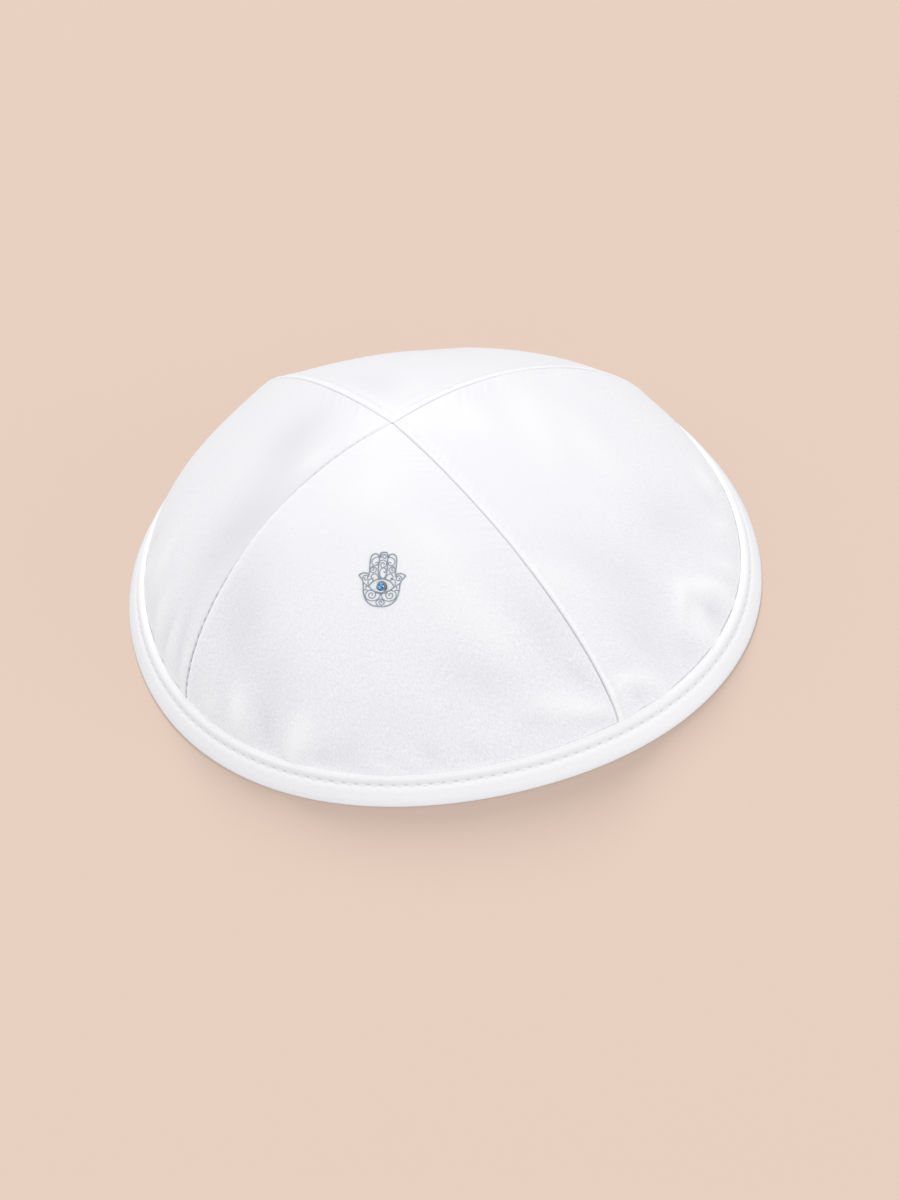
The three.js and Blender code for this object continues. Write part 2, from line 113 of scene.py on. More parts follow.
# Radius of the crown about its leaning axis
def crownRadius(azimuth, down):
    share = reach(down)
    across, width = panelShare(azimuth)
    chord = np.cos(width / 2) / np.cos((across - 0.5) * width)
    flat = cap["flatShare"] * (1 - share ** cap["flatnessFade"])
    hem = slotLength * np.maximum(0, down - 1)
    return footRadius * share * (1 - flat + flat * chord) + bulge(azimuth) * share**4 + hem * alongR


def crownPoint(azimuth, down):
    share = reach(down)
    radius = crownRadius(azimuth, down)
    rise = np.maximum(0, 1 - share ** cap["profilePower"]) ** (1 / cap["risePower"])
    lean = 1 - share * share
    hem = slotLength * np.maximum(0, down - 1)
    x = radius * np.cos(azimuth) - cap["apexLeanLeft"] * lean
    y = radius * np.sin(azimuth) - cap["apexLeanForward"] * lean
    z = footHeight + (cap["crownHeight"] - footHeight) * rise + hem * alongZ
    return np.stack([x, y, z], -1)


def crownNormal(azimuth, down):
    step = 0.01
    aside = crownPoint(azimuth + step, down) - crownPoint(azimuth - step, down)
    below = crownPoint(azimuth, down + step) - crownPoint(azimuth, np.maximum(step / 10, down - step))
    return unit(np.cross(below, aside))


# Length of a seam from the apex down to a row, in metres
fineDown = np.linspace(0, 1.3, 1400)
seamArcs = {}
for seamName, degrees in cap["seams"].items():
    line = crownPoint(np.full_like(fineDown, math.radians(degrees)), fineDown)
    lengths = np.linalg.norm(np.diff(line, axis=0), axis=1)
    seamArcs[seamName] = np.concatenate([[0], np.cumsum(lengths)])
meanArc = sum(seamArcs.values()) / len(seamArcs)
crownArc = float(np.interp(1, fineDown, meanArc))
print("crown surface ready, seam length", round(crownArc / mm, 1), "mm")


# A repeatable uneven ripple between about -1 and 1
def ripple(along, wavelengths, start):
    total = 0
    for number, length in enumerate(wavelengths):
        total = total + np.sin(2 * np.pi * along / length + start * 1.7 + number * 2.3 + start * number)
    return total / len(wavelengths)


# A mesh piece that rides on the cap. Marks are named values at its points that its finish reads.
def meshPiece(name, points, faces, materials, replaced=(), faceMaterials=None, uv=None, marks=None):
    mesh = bpy.data.meshes.new(name)
    faceRows = faces.tolist() if isinstance(faces, np.ndarray) else faces
    mesh.from_pydata(np.asarray(points).tolist(), [], faceRows)
    for material in materials:
        mesh.materials.append(material)
    if faceMaterials is not None:
        mesh.polygons.foreach_set("material_index", np.asarray(faceMaterials, np.int32))
    mesh.polygons.foreach_set("use_smooth", np.ones(len(mesh.polygons), bool))
    if uv is not None:
        layer = mesh.uv_layers.new(name="cloth")
        corners = np.zeros(len(mesh.loops), np.int32)
        mesh.loops.foreach_get("vertex_index", corners)
        layer.data.foreach_set("uv", np.asarray(uv, np.float32)[corners].ravel())
    for mark, values in (marks or {}).items():
        values = np.broadcast_to(np.asarray(values, np.float32).ravel(), len(mesh.vertices))
        mesh.attributes.new(mark, "FLOAT", "POINT").data.foreach_set("value", values.copy())
    mesh.update()
    piece = bpy.data.objects.new(name, mesh)
    bpy.context.scene.collection.objects.link(piece)
    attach(piece, "root")
    if replaced:
        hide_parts(*replaced)
    return piece


# Quads of a grid of points, row by row
def gridFaces(rows, columns, first=0, flip=False, wrapRows=False, wrapColumns=False):
    row = np.arange(rows if wrapRows else rows - 1)
    column = np.arange(columns if wrapColumns else columns - 1)
    r, c = (grid.ravel() for grid in np.meshgrid(row, column, indexing="ij"))
    nextRow, nextColumn = (r + 1) % rows, (c + 1) % columns
    corners = [i * columns + j for i, j in ((r, c), (nextRow, c), (nextRow, nextColumn), (r, nextColumn))]
    if flip:
        corners.reverse()
    return np.stack(corners, -1) + first


# Faces of a tube of rings, closed by a cap at each end
def tubeFaces(rings, sides):
    last = rings * sides - 1
    faces = gridFaces(rings, sides, wrapColumns=True).tolist()
    return faces + [list(range(sides)), list(range(last, last - sides, -1))]


# Materials

def newMaterial(name):
    material = bpy.data.materials.new(name)
    material.use_nodes = True
    tree = material.node_tree
    shader = tree.nodes["Principled BSDF"]
    return material, tree, shader


# Gives a node's inputs their constants, or links them to other nodes
def setInputs(tree, node, inputs):
    for key, value in inputs.items():
        if isinstance(value, bpy.types.NodeSocket):
            tree.links.new(value, node.inputs[key])
        else:
            node.inputs[key].default_value = value


def addNode(tree, kind, inputs=None, **settings):
    node = tree.nodes.new(kind)
    for key, value in settings.items():
        setattr(node, key, value)
    setInputs(tree, node, inputs or {})
    return node


def colourMix(tree, share, first, second):
    return addNode(tree, "ShaderNodeMix", {0: share, 6: first, 7: second}, data_type="RGBA").outputs[2]


def markOf(tree, mark):
    node = addNode(tree, "ShaderNodeAttribute", attribute_name=mark, attribute_type="GEOMETRY")
    return node.outputs["Fac"]


def noiseOf(tree, place, size, detail, distortion=0.0):
    inputs = {"Vector": place, "Scale": 1 / size, "Detail": detail, "Distortion": distortion}
    return addNode(tree, "ShaderNodeTexNoise", inputs).outputs["Fac"]


def mathOf(tree, operation, *values):
    return addNode(tree, "ShaderNodeMath", dict(enumerate(values)), operation=operation).outputs[0]


def rangeOf(tree, value, toLow, toHigh, fromLow=0.0, fromHigh=1.0):
    inputs = {"Value": value, "From Min": fromLow, "From Max": fromHigh, "To Min": toLow, "To Max": toHigh}
    return addNode(tree, "ShaderNodeMapRange", inputs).outputs[0]


def bumpOf(tree, height, strength, depth):
    inputs = {"Height": height, "Strength": strength, "Distance": depth}
    return addNode(tree, "ShaderNodeBump", inputs).outputs[0]


satinLook = {
    "light": (0.865, 0.857, 0.882, 1),
    "shade": (0.83, 0.818, 0.852, 1),
    # colours of the painted shade in creases and stitch holes, and of the painted highlight
    "paintedShade": (0.30, 0.29, 0.33, 1),
    "paintedHighlight": (0.95, 0.95, 0.955, 1),
    "grainAngle": math.radians(-56),
    "grainLength": 0.85 * mm,
    "grainPitch": 0.28 * mm,
    "grainTone": 0.062,
    "grainDepth": 0.02 * mm,
    "grainSwirl": 0.6,
    "lineShare": 0.8,
    "yarnSize": 0.24 * mm,
    "cloudSize": 24 * mm,
    "roughness": (0.38, 0.5),
    "sheen": 0.1,
    "specular": 0.5,
}


# Satin: fine broken diagonal grain, faint cloudy colour and a soft sheen. Its points carry two marks:
# how strong the grain is, and painted light and shade, from -1 for a painted highlight to 1 for painted shade in
# creases.
def makeSatin(name, look):
    material, tree, shader = newMaterial(name)
    place = addNode(tree, "ShaderNodeUVMap", uv_map="cloth").outputs["UV"]
    paintedLightShade = markOf(tree, "paintedLightShade")
    strength = markOf(tree, "grain")
    stretched = addNode(tree, "ShaderNodeMapping", {
        "Vector": place,
        "Rotation": (0, 0, look["grainAngle"]),
        "Scale": (look["grainLength"], look["grainPitch"], 1),
    }, vector_type="TEXTURE").outputs[0]
    lines = noiseOf(tree, stretched, 1, 0.6, look["grainSwirl"])
    yarn = noiseOf(tree, place, look["yarnSize"], 1)
    cloud = noiseOf(tree, place, look["cloudSize"], 2)
    weave = mathOf(tree, "MULTIPLY", lines, look["lineShare"])
    fine = mathOf(tree, "MULTIPLY_ADD", yarn, 1 - look["lineShare"], weave)
    swing = rangeOf(tree, fine, -look["grainTone"], look["grainTone"], 0.35, 0.65)
    tone = mathOf(tree, "MULTIPLY_ADD", swing, strength, 1.0)
    base = colourMix(tree, cloud, look["shade"], look["light"])
    toned = addNode(tree, "ShaderNodeVectorMath", {0: base, "Scale": tone}, operation="SCALE").outputs[0]
    # painted shade where the mark is above 0, painted highlight where it is below 0
    paintedShadedColour = colourMix(tree, paintedLightShade, toned, look["paintedShade"])
    paintedHighlight = mathOf(tree, "MULTIPLY", paintedLightShade, -1.0)
    raised = mathOf(tree, "MULTIPLY", fine, strength)
    setInputs(tree, shader, {
        "Base Color": colourMix(tree, paintedHighlight, paintedShadedColour, look["paintedHighlight"]),
        "Roughness": rangeOf(tree, fine, *look["roughness"]),
        "Normal": bumpOf(tree, raised, 0.6, look["grainDepth"]),
        "Sheen Weight": look["sheen"],
        "Sheen Roughness": 0.4,
        "Specular IOR Level": look["specular"],
    })
    return material


bindingLook = {
    **satinLook,
    "light": (0.875, 0.869, 0.89, 1),
    "shade": (0.855, 0.848, 0.872, 1),
    "roughness": (0.4, 0.52),
    "grainAngle": math.radians(-42),
    "grainPitch": 0.3 * mm,
    "grainTone": 0.04,
}
reverseLook = {
    **satinLook,
    "light": (0.83, 0.83, 0.85, 1),
    "shade": (0.79, 0.79, 0.815, 1),
    "roughness": (0.56, 0.68),
    "sheen": 0.05,
    "specular": 0.35,
}
panelSatin = makeSatin("panelSatin", satinLook)
bindingSatin = makeSatin("bindingSatin", bindingLook)
satinReverse = makeSatin("satinReverse", reverseLook)


# Plain finishes with a fine bump: their colour is mottled by noise, or painted dark where the mark of painted
# light and shade says so
def makeMottled(name, light, dark, grain, roughness, metallic=0.0, marked=False):
    material, tree, shader = newMaterial(name)
    place = addNode(tree, "ShaderNodeTexCoord").outputs["Object"]
    noise = noiseOf(tree, place, grain, 3)
    lightShare = rangeOf(tree, markOf(tree, "paintedLightShade"), 1, 0) if marked else rangeOf(tree, noise, 0, 1, 0.3, 0.7)
    setInputs(tree, shader, {
        "Base Color": colourMix(tree, lightShare, dark, light),
        "Roughness": rangeOf(tree, noise, roughness - 0.05, roughness + 0.08),
        "Normal": bumpOf(tree, noise, 0.4, 0.01 * mm),
        "Metallic": metallic,
    })
    return material


threadFinish = makeMottled("whiteThread", light=(0.92, 0.92, 0.93, 1), dark=(0.84, 0.84, 0.86, 1),
                           grain=0.25 * mm, roughness=0.5)
slateFoil = makeMottled("slateFoil", light=(0.36, 0.42, 0.49, 1), dark=(0.23, 0.29, 0.35, 1),
                        grain=0.9 * mm, roughness=0.38, metallic=0.15)
# the bezel's dark colour is a painted reflection and shade, placed by the mark
bezelSilver = makeMottled("bezelSilver", light=(0.93, 0.94, 0.96, 1), dark=(0.07, 0.07, 0.08, 1),
                          grain=0.8 * mm, roughness=0.28, metallic=0.7, marked=True)
print("materials ready")

# Crown panels

# Soft folds and dents of each panel: place across and down the panel, half length, half width and height in
# millimetres, and slant in degrees
foldColumns = ("across", "down", "length", "width", "height", "slant")
foldRows = {
    "left": [
        (0.74, 0.89, 7, 3.6, -0.4, 35),
        (0.80, 0.83, 7, 2.8, 0.55, 20),
        (0.855, 0.85, 7.5, 2.2, -0.55, 5),
        (0.895, 0.84, 8, 1.8, 0.7, 8),
        (0.93, 0.79, 11, 1.8, -0.6, 16),
        (0.972, 0.85, 8, 1.5, 0.5, 4),
        (0.66, 0.75, 10, 4, 0.45, 30),
        (0.60, 0.90, 6, 3.4, 0.4, -20),
        (0.52, 0.82, 8, 3, -0.4, 10),
        (0.50, 0.26, 13, 8, -0.9, 60),
        (0.90, 0.42, 18, 11, -1.3, 22),
        (0.84, 0.20, 6, 3, 0.5, 40),
        (0.86, 0.60, 16, 6, -0.4, 26),
    ],
    "front": [
        (0.16, 0.84, 6, 3.0, 0.95, 12),
        (0.08, 0.90, 3.5, 2.0, 0.5, -25),
        (0.235, 0.86, 5, 2.4, -0.72, 15),
        (0.314, 0.86, 6, 2.7, 0.9, -12),
        (0.30, 0.95, 3, 1.8, 0.45, 20),
        (0.37, 0.93, 4, 2.0, -0.5, -20),
        (0.415, 0.90, 5, 3.0, -0.45, -30),
        (0.50, 0.95, 4, 1.6, 0.4, 75),
        (0.56, 0.92, 4, 1.8, 0.3, 40),
        (0.60, 0.90, 4.5, 2.0, -0.45, 26),
        (0.69, 0.90, 3, 1.8, -0.4, 30),
        (0.91, 0.82, 11, 3.4, 0.75, 60),
        (0.96, 0.755, 7, 2.4, -0.6, 35),
        (0.95, 0.925, 6, 2.0, -0.5, 66),
        (0.82, 0.85, 5, 2.6, -0.4, 75),
        (0.10, 0.60, 16, 8, -1.1, 20),
        (0.24, 0.74, 11, 7, -0.7, 10),
        (0.55, 0.80, 14, 8, -0.4, 80),
        (0.93, 0.60, 13, 6, -0.8, 24),
        (0.80, 0.54, 14, 6, 0.35, 44),
        (0.74, 0.68, 14, 6, -0.7, 60),
        (0.45, 0.20, 10, 9, 0.35, 0),
        (0.72, 0.35, 10, 5, 0.3, 40),
    ],
    "right": [
        (0.262, 0.755, 5.5, 2.7, 0.85, -60),
        (0.275, 0.83, 3.2, 2.6, 0.45, 0),
        (0.335, 0.79, 7.5, 2.4, 0.9, 42),
        (0.372, 0.90, 5, 1.9, 0.6, 12),
        (0.32, 0.88, 5, 2.6, -0.9, 22),
        (0.262, 0.90, 7, 2.3, 0.75, 22),
        (0.21, 0.89, 5, 2.6, -0.5, 32),
        (0.435, 0.86, 6, 2.2, 0.5, 28),
        (0.03, 0.82, 3.6, 2.0, 0.4, -72),
        (0.076, 0.84, 5.5, 2.2, 0.5, 50),
        (0.11, 0.93, 3.4, 1.8, 0.4, 20),
        (0.058, 0.915, 3.2, 2.2, -0.7, 16),
        (0.065, 0.77, 5, 2.4, -0.4, 55),
        (0.67, 0.79, 5, 3.6, 0.55, -70),
        (0.60, 0.79, 4, 3.6, -0.5, 0),
        (0.54, 0.83, 6, 2.8, 0.45, 40),
        (0.20, 0.62, 18, 9, -0.8, 20),
        (0.45, 0.66, 16, 9, -0.7, 60),
        (0.70, 0.32, 16, 7, 0.55, -80),
        (0.60, 0.20, 9, 6, 0.35, -60),
        (0.139, 0.77, 12, 6, -0.8, 20),
        (0.62, 0.45, 14, 5, 0.3, -60),
        (0.08, 0.52, 14, 5, 0.3, 30),
    ],
    "back": [
        (0.30, 0.86, 10, 3.4, -0.6, 15),
        (0.38, 0.83, 9, 2.8, 0.6, 10),
        (0.62, 0.84, 10, 3.2, 0.6, -20),
        (0.72, 0.88, 8, 2.6, -0.6, -12),
        (0.90, 0.80, 9, 2.4, 0.55, -8),
        (0.12, 0.84, 8, 2.6, 0.5, 14),
        (0.18, 0.88, 6, 2.4, -0.5, 10),
        (0.50, 0.55, 16, 8, -0.35, 10),
        (0.70, 0.20, 12, 5, -0.5, 30),
    ],
}

# Height of the cloth beside a seam, against distance from the seam, both in millimetres
seamShapes = {
    "turnedEdge": [(0, -0.1), (0.06, 0.06), (0.16, 0.2), (0.36, 0.26), (0.7, 0.2), (1.4, 0.08), (2.6, 0)],
    "tuckedUnder": [(0, -0.16), (0.3, -0.15), (0.7, -0.12), (1.4, -0.05), (2.6, 0)],
    "softBand": [(0, -0.22), (0.1, -0.06), (0.26, 0.1), (0.6, 0.24), (1.2, 0.22), (1.75, 0.06),
                 (2.2, 0.14), (3.4, 0.3), (5, 0.16), (8, 0)],
    "puffedBand": [(0, -0.22), (0.1, -0.06), (0.3, 0.12), (0.9, 0.3), (1.6, 0.26), (2.3, 0.08),
                   (2.7, 0.14), (4, 0.16), (7, 0)],
    "smoothSide": [(0, -0.22), (0.12, -0.1), (0.3, -0.02), (0.8, 0.04), (1.6, 0.02), (2.4, 0)],
}

# The two seams of each panel, anticlockwise from above, and the shape of the cloth beside each
panels = {
    "front": {"from": "frontLeft", "to": "frontRight", "fromShape": "turnedEdge", "toShape": "smoothSide"},
    "right": {"from": "frontRight", "to": "backRight", "fromShape": "softBand", "toShape": "smoothSide"},
    "back": {"from": "backRight", "to": "backLeft", "fromShape": "puffedBand", "toShape": "puffedBand"},
    "left": {"from": "backLeft", "to": "frontLeft", "fromShape": "smoothSide", "toShape": "tuckedUnder"},
}

# Painted highlight (below 0) and painted shade (above 0) of the cloth beside a seam, against distance from the
# seam in millimetres
paintedLightShapes = {
    "turnedEdge": [(0, 0.5), (0.08, 0.3), (0.18, -1), (0.42, -1), (0.9, -0.25), (1.6, -0.05), (2.2, 0)],
    "tuckedUnder": [(0, 0.7), (0.6, 0.65), (1.0, 0.3), (1.5, 0)],
    "softBand": [(0, 0.3), (0.15, 0.2), (0.45, -0.1), (0.75, -0.6), (1.1, -0.5), (1.7, -0.15), (2.6, 0)],
    "puffedBand": [(0, 0.22), (0.1, 0.1), (0.35, -0.6), (1.6, -0.45), (2.3, 0), (2.7, 0.07), (3.5, 0)],
    "smoothSide": [(0, 0.26), (0.16, 0.1), (0.4, 0)],
}

# Topstitches beside each seam: the panel they are sewn on, how far from the seam in millimetres, where they
# start along it, how dark their holes are painted, and how much of the painted light and shade is left at the top
stitchColumns = ("panel", "away", "phase", "holeShade", "wearAtTop")
seamStitches = {
    "frontLeft": ("left", 0.7, 0.2, 0.6, 0.25),
    "frontRight": ("right", 1.75, 0.5, 0.02, 0.75),
    "backRight": ("back", 2.3, 0.1, 0.05, 0.75),
    "backLeft": ("back", 2.3, 0.7, 0.05, 0.75),
}
seamStitches = {seam: dict(zip(stitchColumns, row)) for seam, row in seamStitches.items()}
sewing = {
    "pitch": 2.4 * mm,
    "firstHole": 7 * mm,
    "threadRadius": 0.11 * mm,
    "threadSink": 0.22 * mm,
    "dimple": 0.14 * mm,
    "dimpleLength": 0.26 * mm,
    "dimpleWidth": 0.42 * mm,
    "pucker": 0.1 * mm,
    "puckerReach": 2.6 * mm,
    "puckerWaves": (2.4 * mm, 3.7 * mm, 5.3 * mm, 8.9 * mm),
    "paintedAtRim": 1.15,
}

# Small gathers where the cloth meets the binding
gathers = {"height": 0.16 * mm, "reach": 6 * mm, "waves": (4.3 * mm, 7.1 * mm, 11.3 * mm, 19 * mm)}

# Rows run down the panel. Edge columns are distances from a seam, in millimetres.
panelMesh = {
    "rows": 290,
    "middleColumns": 66,
    "edgeColumns": [0.02, 0.07, 0.14, 0.24, 0.36, 0.5, 0.66, 0.84, 1.05, 1.3, 1.55, 1.75, 1.95, 2.15, 2.4,
                    2.7, 3.2, 4, 4.9, 5.3, 5.7, 6.1],
    "tipArc": 0.35 * mm,
    "hemShare": 0.3,
    "allowance": 5.5 * mm,
    "allowanceRise": 0.35 * mm,
    "ridgeShine": 0.8 / mm,
    "dentShade": 0.13 / mm,
    "grain": {"front": 1, "right": 0.75, "back": 0.7, "left": 0.85},
    "insideGrain": 0.7,
}


def spanOf(panel):
    start = math.radians(cap["seams"][panels[panel]["from"]])
    width = (math.radians(cap["seams"][panels[panel]["to"]]) - start) % (2 * math.pi)
    return start, width


def foldLift(panelName, points):
    lift = np.zeros(points.shape[:-1])
    start, width = spanOf(panelName)
    for row in foldRows[panelName]:
        fold = dict(zip(foldColumns, row))
        azimuth = np.array(start + fold["across"] * width)
        down = np.array(fold["down"])
        centre = crownPoint(azimuth, down)
        normal = crownNormal(azimuth, down)
        upward = unit(np.array([0, 0, 1]) - normal[2] * normal)
        slant = math.radians(fold["slant"])
        along = upward * math.cos(slant) + np.cross(normal, upward) * math.sin(slant)
        aside = np.cross(along, normal)
        away = points - centre
        a = away @ along / (fold["length"] * mm)
        b = away @ aside / (fold["width"] * mm)
        lift += fold["height"] * mm * np.exp(-a * a - b * b)
    return lift


# Height of the cloth beside one of its seams, and the painted highlight and shade there
def besideSeam(panelName, seam, shape, away, down, arcWidth):
    stitches = seamStitches[seam]
    opened = smoothStep(5 * mm, 14 * mm, arcWidth)  # the swell fades where the panels meet at the top
    table = np.array(seamShapes[shape]) * mm
    lift = np.interp(away, table[:, 0], table[:, 1])
    lift = np.where(lift > 0, lift * opened, lift)
    paintedScale = stitches["wearAtTop"] + (sewing["paintedAtRim"] - stitches["wearAtTop"]) * down
    table = np.array(paintedLightShapes[shape])
    paintedLightShade = np.interp(away, table[:, 0] * mm, table[:, 1]) * paintedScale
    row = stitches["away"] * mm
    arc = np.interp(down, fineDown, seamArcs[seam])
    uneven = ripple(arc, sewing["puckerWaves"], len(seam) + spanOf(panelName)[0])
    # the painted highlights beside the seam are made uneven along it
    paintedLightShade = paintedLightShade * np.where(paintedLightShade < 0, 1 + 0.5 * uneven, 1)
    if stitches["panel"] == panelName:
        phase = (arc + 0.5 * (away - row)) / sewing["pitch"] + stitches["phase"]
        toHole = (phase - np.round(phase)) * sewing["pitch"]
        dimple = np.exp(-(toHole / sewing["dimpleLength"]) ** 2 - ((away - row) / sewing["dimpleWidth"]) ** 2)
        lift = lift - sewing["dimple"] * dimple * opened
        # painted shade in the stitch holes
        paintedLightShade = paintedLightShade + stitches["holeShade"] * dimple * opened * paintedScale
    nearSeam = np.exp(-np.abs(away - row) / sewing["puckerReach"]) * smoothStep(8 * mm, 20 * mm, arcWidth)
    return lift + sewing["pucker"] * uneven * nearSeam, paintedLightShade


# Height of the cloth above the plain crown, from its seams, folds and gathers, and its painted highlights and
# shade
def clothLift(panelName, azimuth, down, points):
    start, width = spanOf(panelName)
    panel = panels[panelName]
    radius = crownRadius(azimuth, down)
    arcWidth = width * radius
    fromStart = (azimuth - start) * radius
    fromEnd = (start + width - azimuth) * radius
    startLift, startPainted = besideSeam(panelName, panel["from"], panel["fromShape"], fromStart, down, arcWidth)
    endLift, endPainted = besideSeam(panelName, panel["to"], panel["toShape"], fromEnd, down, arcWidth)
    folded = foldLift(panelName, points)
    lift = startLift + endLift + folded
    # fold ridges get a painted highlight, dents get painted shade
    shine = np.where(folded > 0, panelMesh["ridgeShine"], panelMesh["dentShade"])
    paintedLightShade = startPainted + endPainted - shine * folded
    toBinding = np.maximum(0, crownArc - np.interp(down, fineDown, meanArc))
    gather = ripple(azimuth * footRadius, gathers["waves"], 0.4)
    lift = lift + gathers["height"] * gather * np.exp(-toBinding / gathers["reach"])
    # painted highlight along the foot of the cloth, lightening the shaded corner at the binding
    paintedLightShade = paintedLightShade - 0.35 * np.exp(-toBinding / (0.8 * mm))
    slow = np.sin(points[..., 0] / (9 * mm) + 1.3 * np.sin(points[..., 1] / (13 * mm)))
    slow = slow * np.sin(points[..., 1] / (11 * mm) + points[..., 2] / (8 * mm))
    lift = lift + 0.09 * mm * slow
    return lift * (1 - smoothStep(0.955, 1, down)), paintedLightShade


def clothPoint(panelName, azimuth, down):
    points = crownPoint(azimuth, down)
    lift, _ = clothLift(panelName, azimuth, down, points)
    return points + crownNormal(azimuth, down) * lift[..., None]


def makePanel(panelName):
    start, width = spanOf(panelName)
    lastArc = float(np.interp(1 + panelMesh["hemShare"], fineDown, meanArc))
    arcs = np.linspace(panelMesh["tipArc"], lastArc, panelMesh["rows"])
    down = np.interp(arcs, meanArc, fineDown)[:, None]
    middle = np.array(start + width / 2)
    arcWidth = width * crownRadius(np.full_like(down, middle), down)
    edge = np.array(panelMesh["edgeColumns"]) * mm
    shrink = np.minimum(1, arcWidth / (2.6 * edge[-1]))
    left = edge[None, :] * shrink / arcWidth
    share = np.linspace(0, 1, panelMesh["middleColumns"] + 2)[1:-1]
    inner = left[:, -1:] + (1 - 2 * left[:, -1:]) * share[None, :]
    across = np.concatenate([left, inner, 1 - left[:, ::-1]], axis=1)
    azimuth = start + across * width
    down = np.broadcast_to(down, azimuth.shape)
    plain = crownPoint(azimuth, down)
    normal = crownNormal(azimuth, down)
    normal[:, 0] = crownNormal(np.full_like(down[:, 0], start), down[:, 0])
    normal[:, -1] = crownNormal(np.full_like(down[:, 0], start + width), down[:, 0])
    lift, paintedLightShade = clothLift(panelName, azimuth, down, plain)
    grain = panelMesh["grain"][panelName] * (1 - 0.75 * smoothStep(28 * mm, 50 * mm, plain[..., 2]))
    outer = plain + normal * lift[..., None]
    toSeam = np.minimum(across, 1 - across) * arcWidth
    aboveHem = 1 - smoothStep(0.9, 0.97, down)
    edgeOf = panelMesh["allowance"]
    allowance = 1 - smoothStep(edgeOf - 0.3 * mm, edgeOf + 0.3 * mm, toSeam)
    allowance = allowance * smoothStep(10 * mm, 20 * mm, arcWidth) * aboveHem
    depth = cap["clothWall"] + panelMesh["allowanceRise"] * allowance
    insideFold = 0.6 * foldLift(panelName, plain) * (1 - smoothStep(0.9, 1, down))
    inside = plain + normal * (insideFold - depth)[..., None]
    # painted shade inside: along the allowance edges and beside the seam, with a weaker copy of the outside's
    # painted light and shade
    edgeShade = 4 * allowance * (1 - allowance) + 2 * np.exp(-toSeam / (0.25 * mm)) * aboveHem
    rows, columns = azimuth.shape
    count = rows * columns
    faces = [gridFaces(rows, columns), gridFaces(rows, columns, count, flip=True)]
    border = np.concatenate([
        np.arange(columns),
        np.arange(1, rows) * columns + columns - 1,
        (rows - 1) * columns + np.arange(columns - 2, -1, -1),
        np.arange(rows - 2, 0, -1) * columns,
    ])
    after = np.roll(border, -1)
    faces.append(np.stack([border, after, after + count, border + count], -1))
    kinds = np.concatenate([np.zeros(len(faces[0])), np.ones(len(faces[1])), np.zeros(len(faces[2]))])
    points = np.concatenate([outer.reshape(-1, 3), inside.reshape(-1, 3)])
    outward = crownNormal(np.array(start + width / 2), np.array(0.55))
    right = unit(np.cross(np.array([0, 0, 1]), outward))
    upward = np.cross(outward, right)
    uv = np.stack([points @ right, points @ upward], -1)
    marks = {
        "paintedLightShade": np.concatenate([paintedLightShade.ravel(), (0.35 * paintedLightShade + 0.14 * edgeShade).ravel()]),
        "grain": np.concatenate([grain.ravel(), np.full(count, panelMesh["insideGrain"])]),
    }
    cloths = [panelSatin, satinReverse]
    return meshPiece(f"crown_{panelName}", points, np.concatenate(faces), cloths,
                     [f"panel_{panelName}"], kinds, uv, marks)


for panelName in panels:
    makePanel(panelName)
print("crown panels made")

# Threads

# One sewn stitch: a short rounded thread between two holes that dips into the cloth at its ends
def stitchMesh(start, end, outward, radius, sink):
    rings, sides = 7, 8
    along = end - start
    aside = unit(np.cross(outward, along))
    share = np.linspace(0, 1, rings)
    arch = np.sin(np.pi * share)
    centre = start + along * share[:, None] + outward * (sink * (arch**0.6 - 1))[:, None]
    thick = radius * (0.45 + 0.55 * arch**0.5)
    turn = np.linspace(0, 2 * np.pi, sides, endpoint=False)
    ring = aside * np.cos(turn)[:, None] + outward * np.sin(turn)[:, None]
    points = centre[:, None, :] + ring[None, :, :] * thick[:, None, None]
    return points.reshape(-1, 3), tubeFaces(rings, sides)


def joinMeshes(parts):
    points, faces, first = [], [], 0
    for partPoints, partFaces in parts:
        points.append(partPoints)
        faces += [[corner + first for corner in face] for face in partFaces]
        first += len(partPoints)
    return np.concatenate(points), faces


# A row of stitches on the panel's outside beside a seam, and its inner row on the seam allowance
def makeSeamStitches(seam, row):
    parts = []
    start, width = spanOf(row["panel"])
    atStart = panels[row["panel"]]["from"] == seam
    total = np.interp(0.985, fineDown, seamArcs[seam])
    count = int((total - sewing["firstHole"]) / sewing["pitch"])
    holes = (np.arange(1, count + 4) - row["phase"]) * sewing["pitch"]
    holes = holes[(holes > sewing["firstHole"]) & (holes < total)]
    down = np.interp(holes, seamArcs[seam], fineDown)
    seamAzimuth = np.full_like(down, start if atStart else start + width)
    away = row["away"] * mm / crownRadius(seamAzimuth, down)
    azimuth = seamAzimuth + (away if atStart else -away)
    outside = clothPoint(row["panel"], azimuth, down)
    normal = crownNormal(azimuth, down)
    inside = crownPoint(azimuth, down) - normal * (cap["clothWall"] + panelMesh["allowanceRise"])
    radius = sewing["threadRadius"]
    for line, out in ((outside, normal), (inside, -normal)):
        for k in range(len(line) - 1):
            outward = unit(out[k] + out[k + 1])
            gap = 0.1 * (line[k + 1] - line[k])
            rise = 1.3 * radius * outward
            parts.append(stitchMesh(line[k] + gap + rise, line[k + 1] - gap + rise, outward, radius,
                                    sewing["threadSink"]))
    points, faces = joinMeshes(parts)
    return meshPiece(f"stitches_{seam}", points, faces, [threadFinish])


for seamName, row in seamStitches.items():
    makeSeamStitches(seamName, row)
print("seam stitches made")

# Rim binding

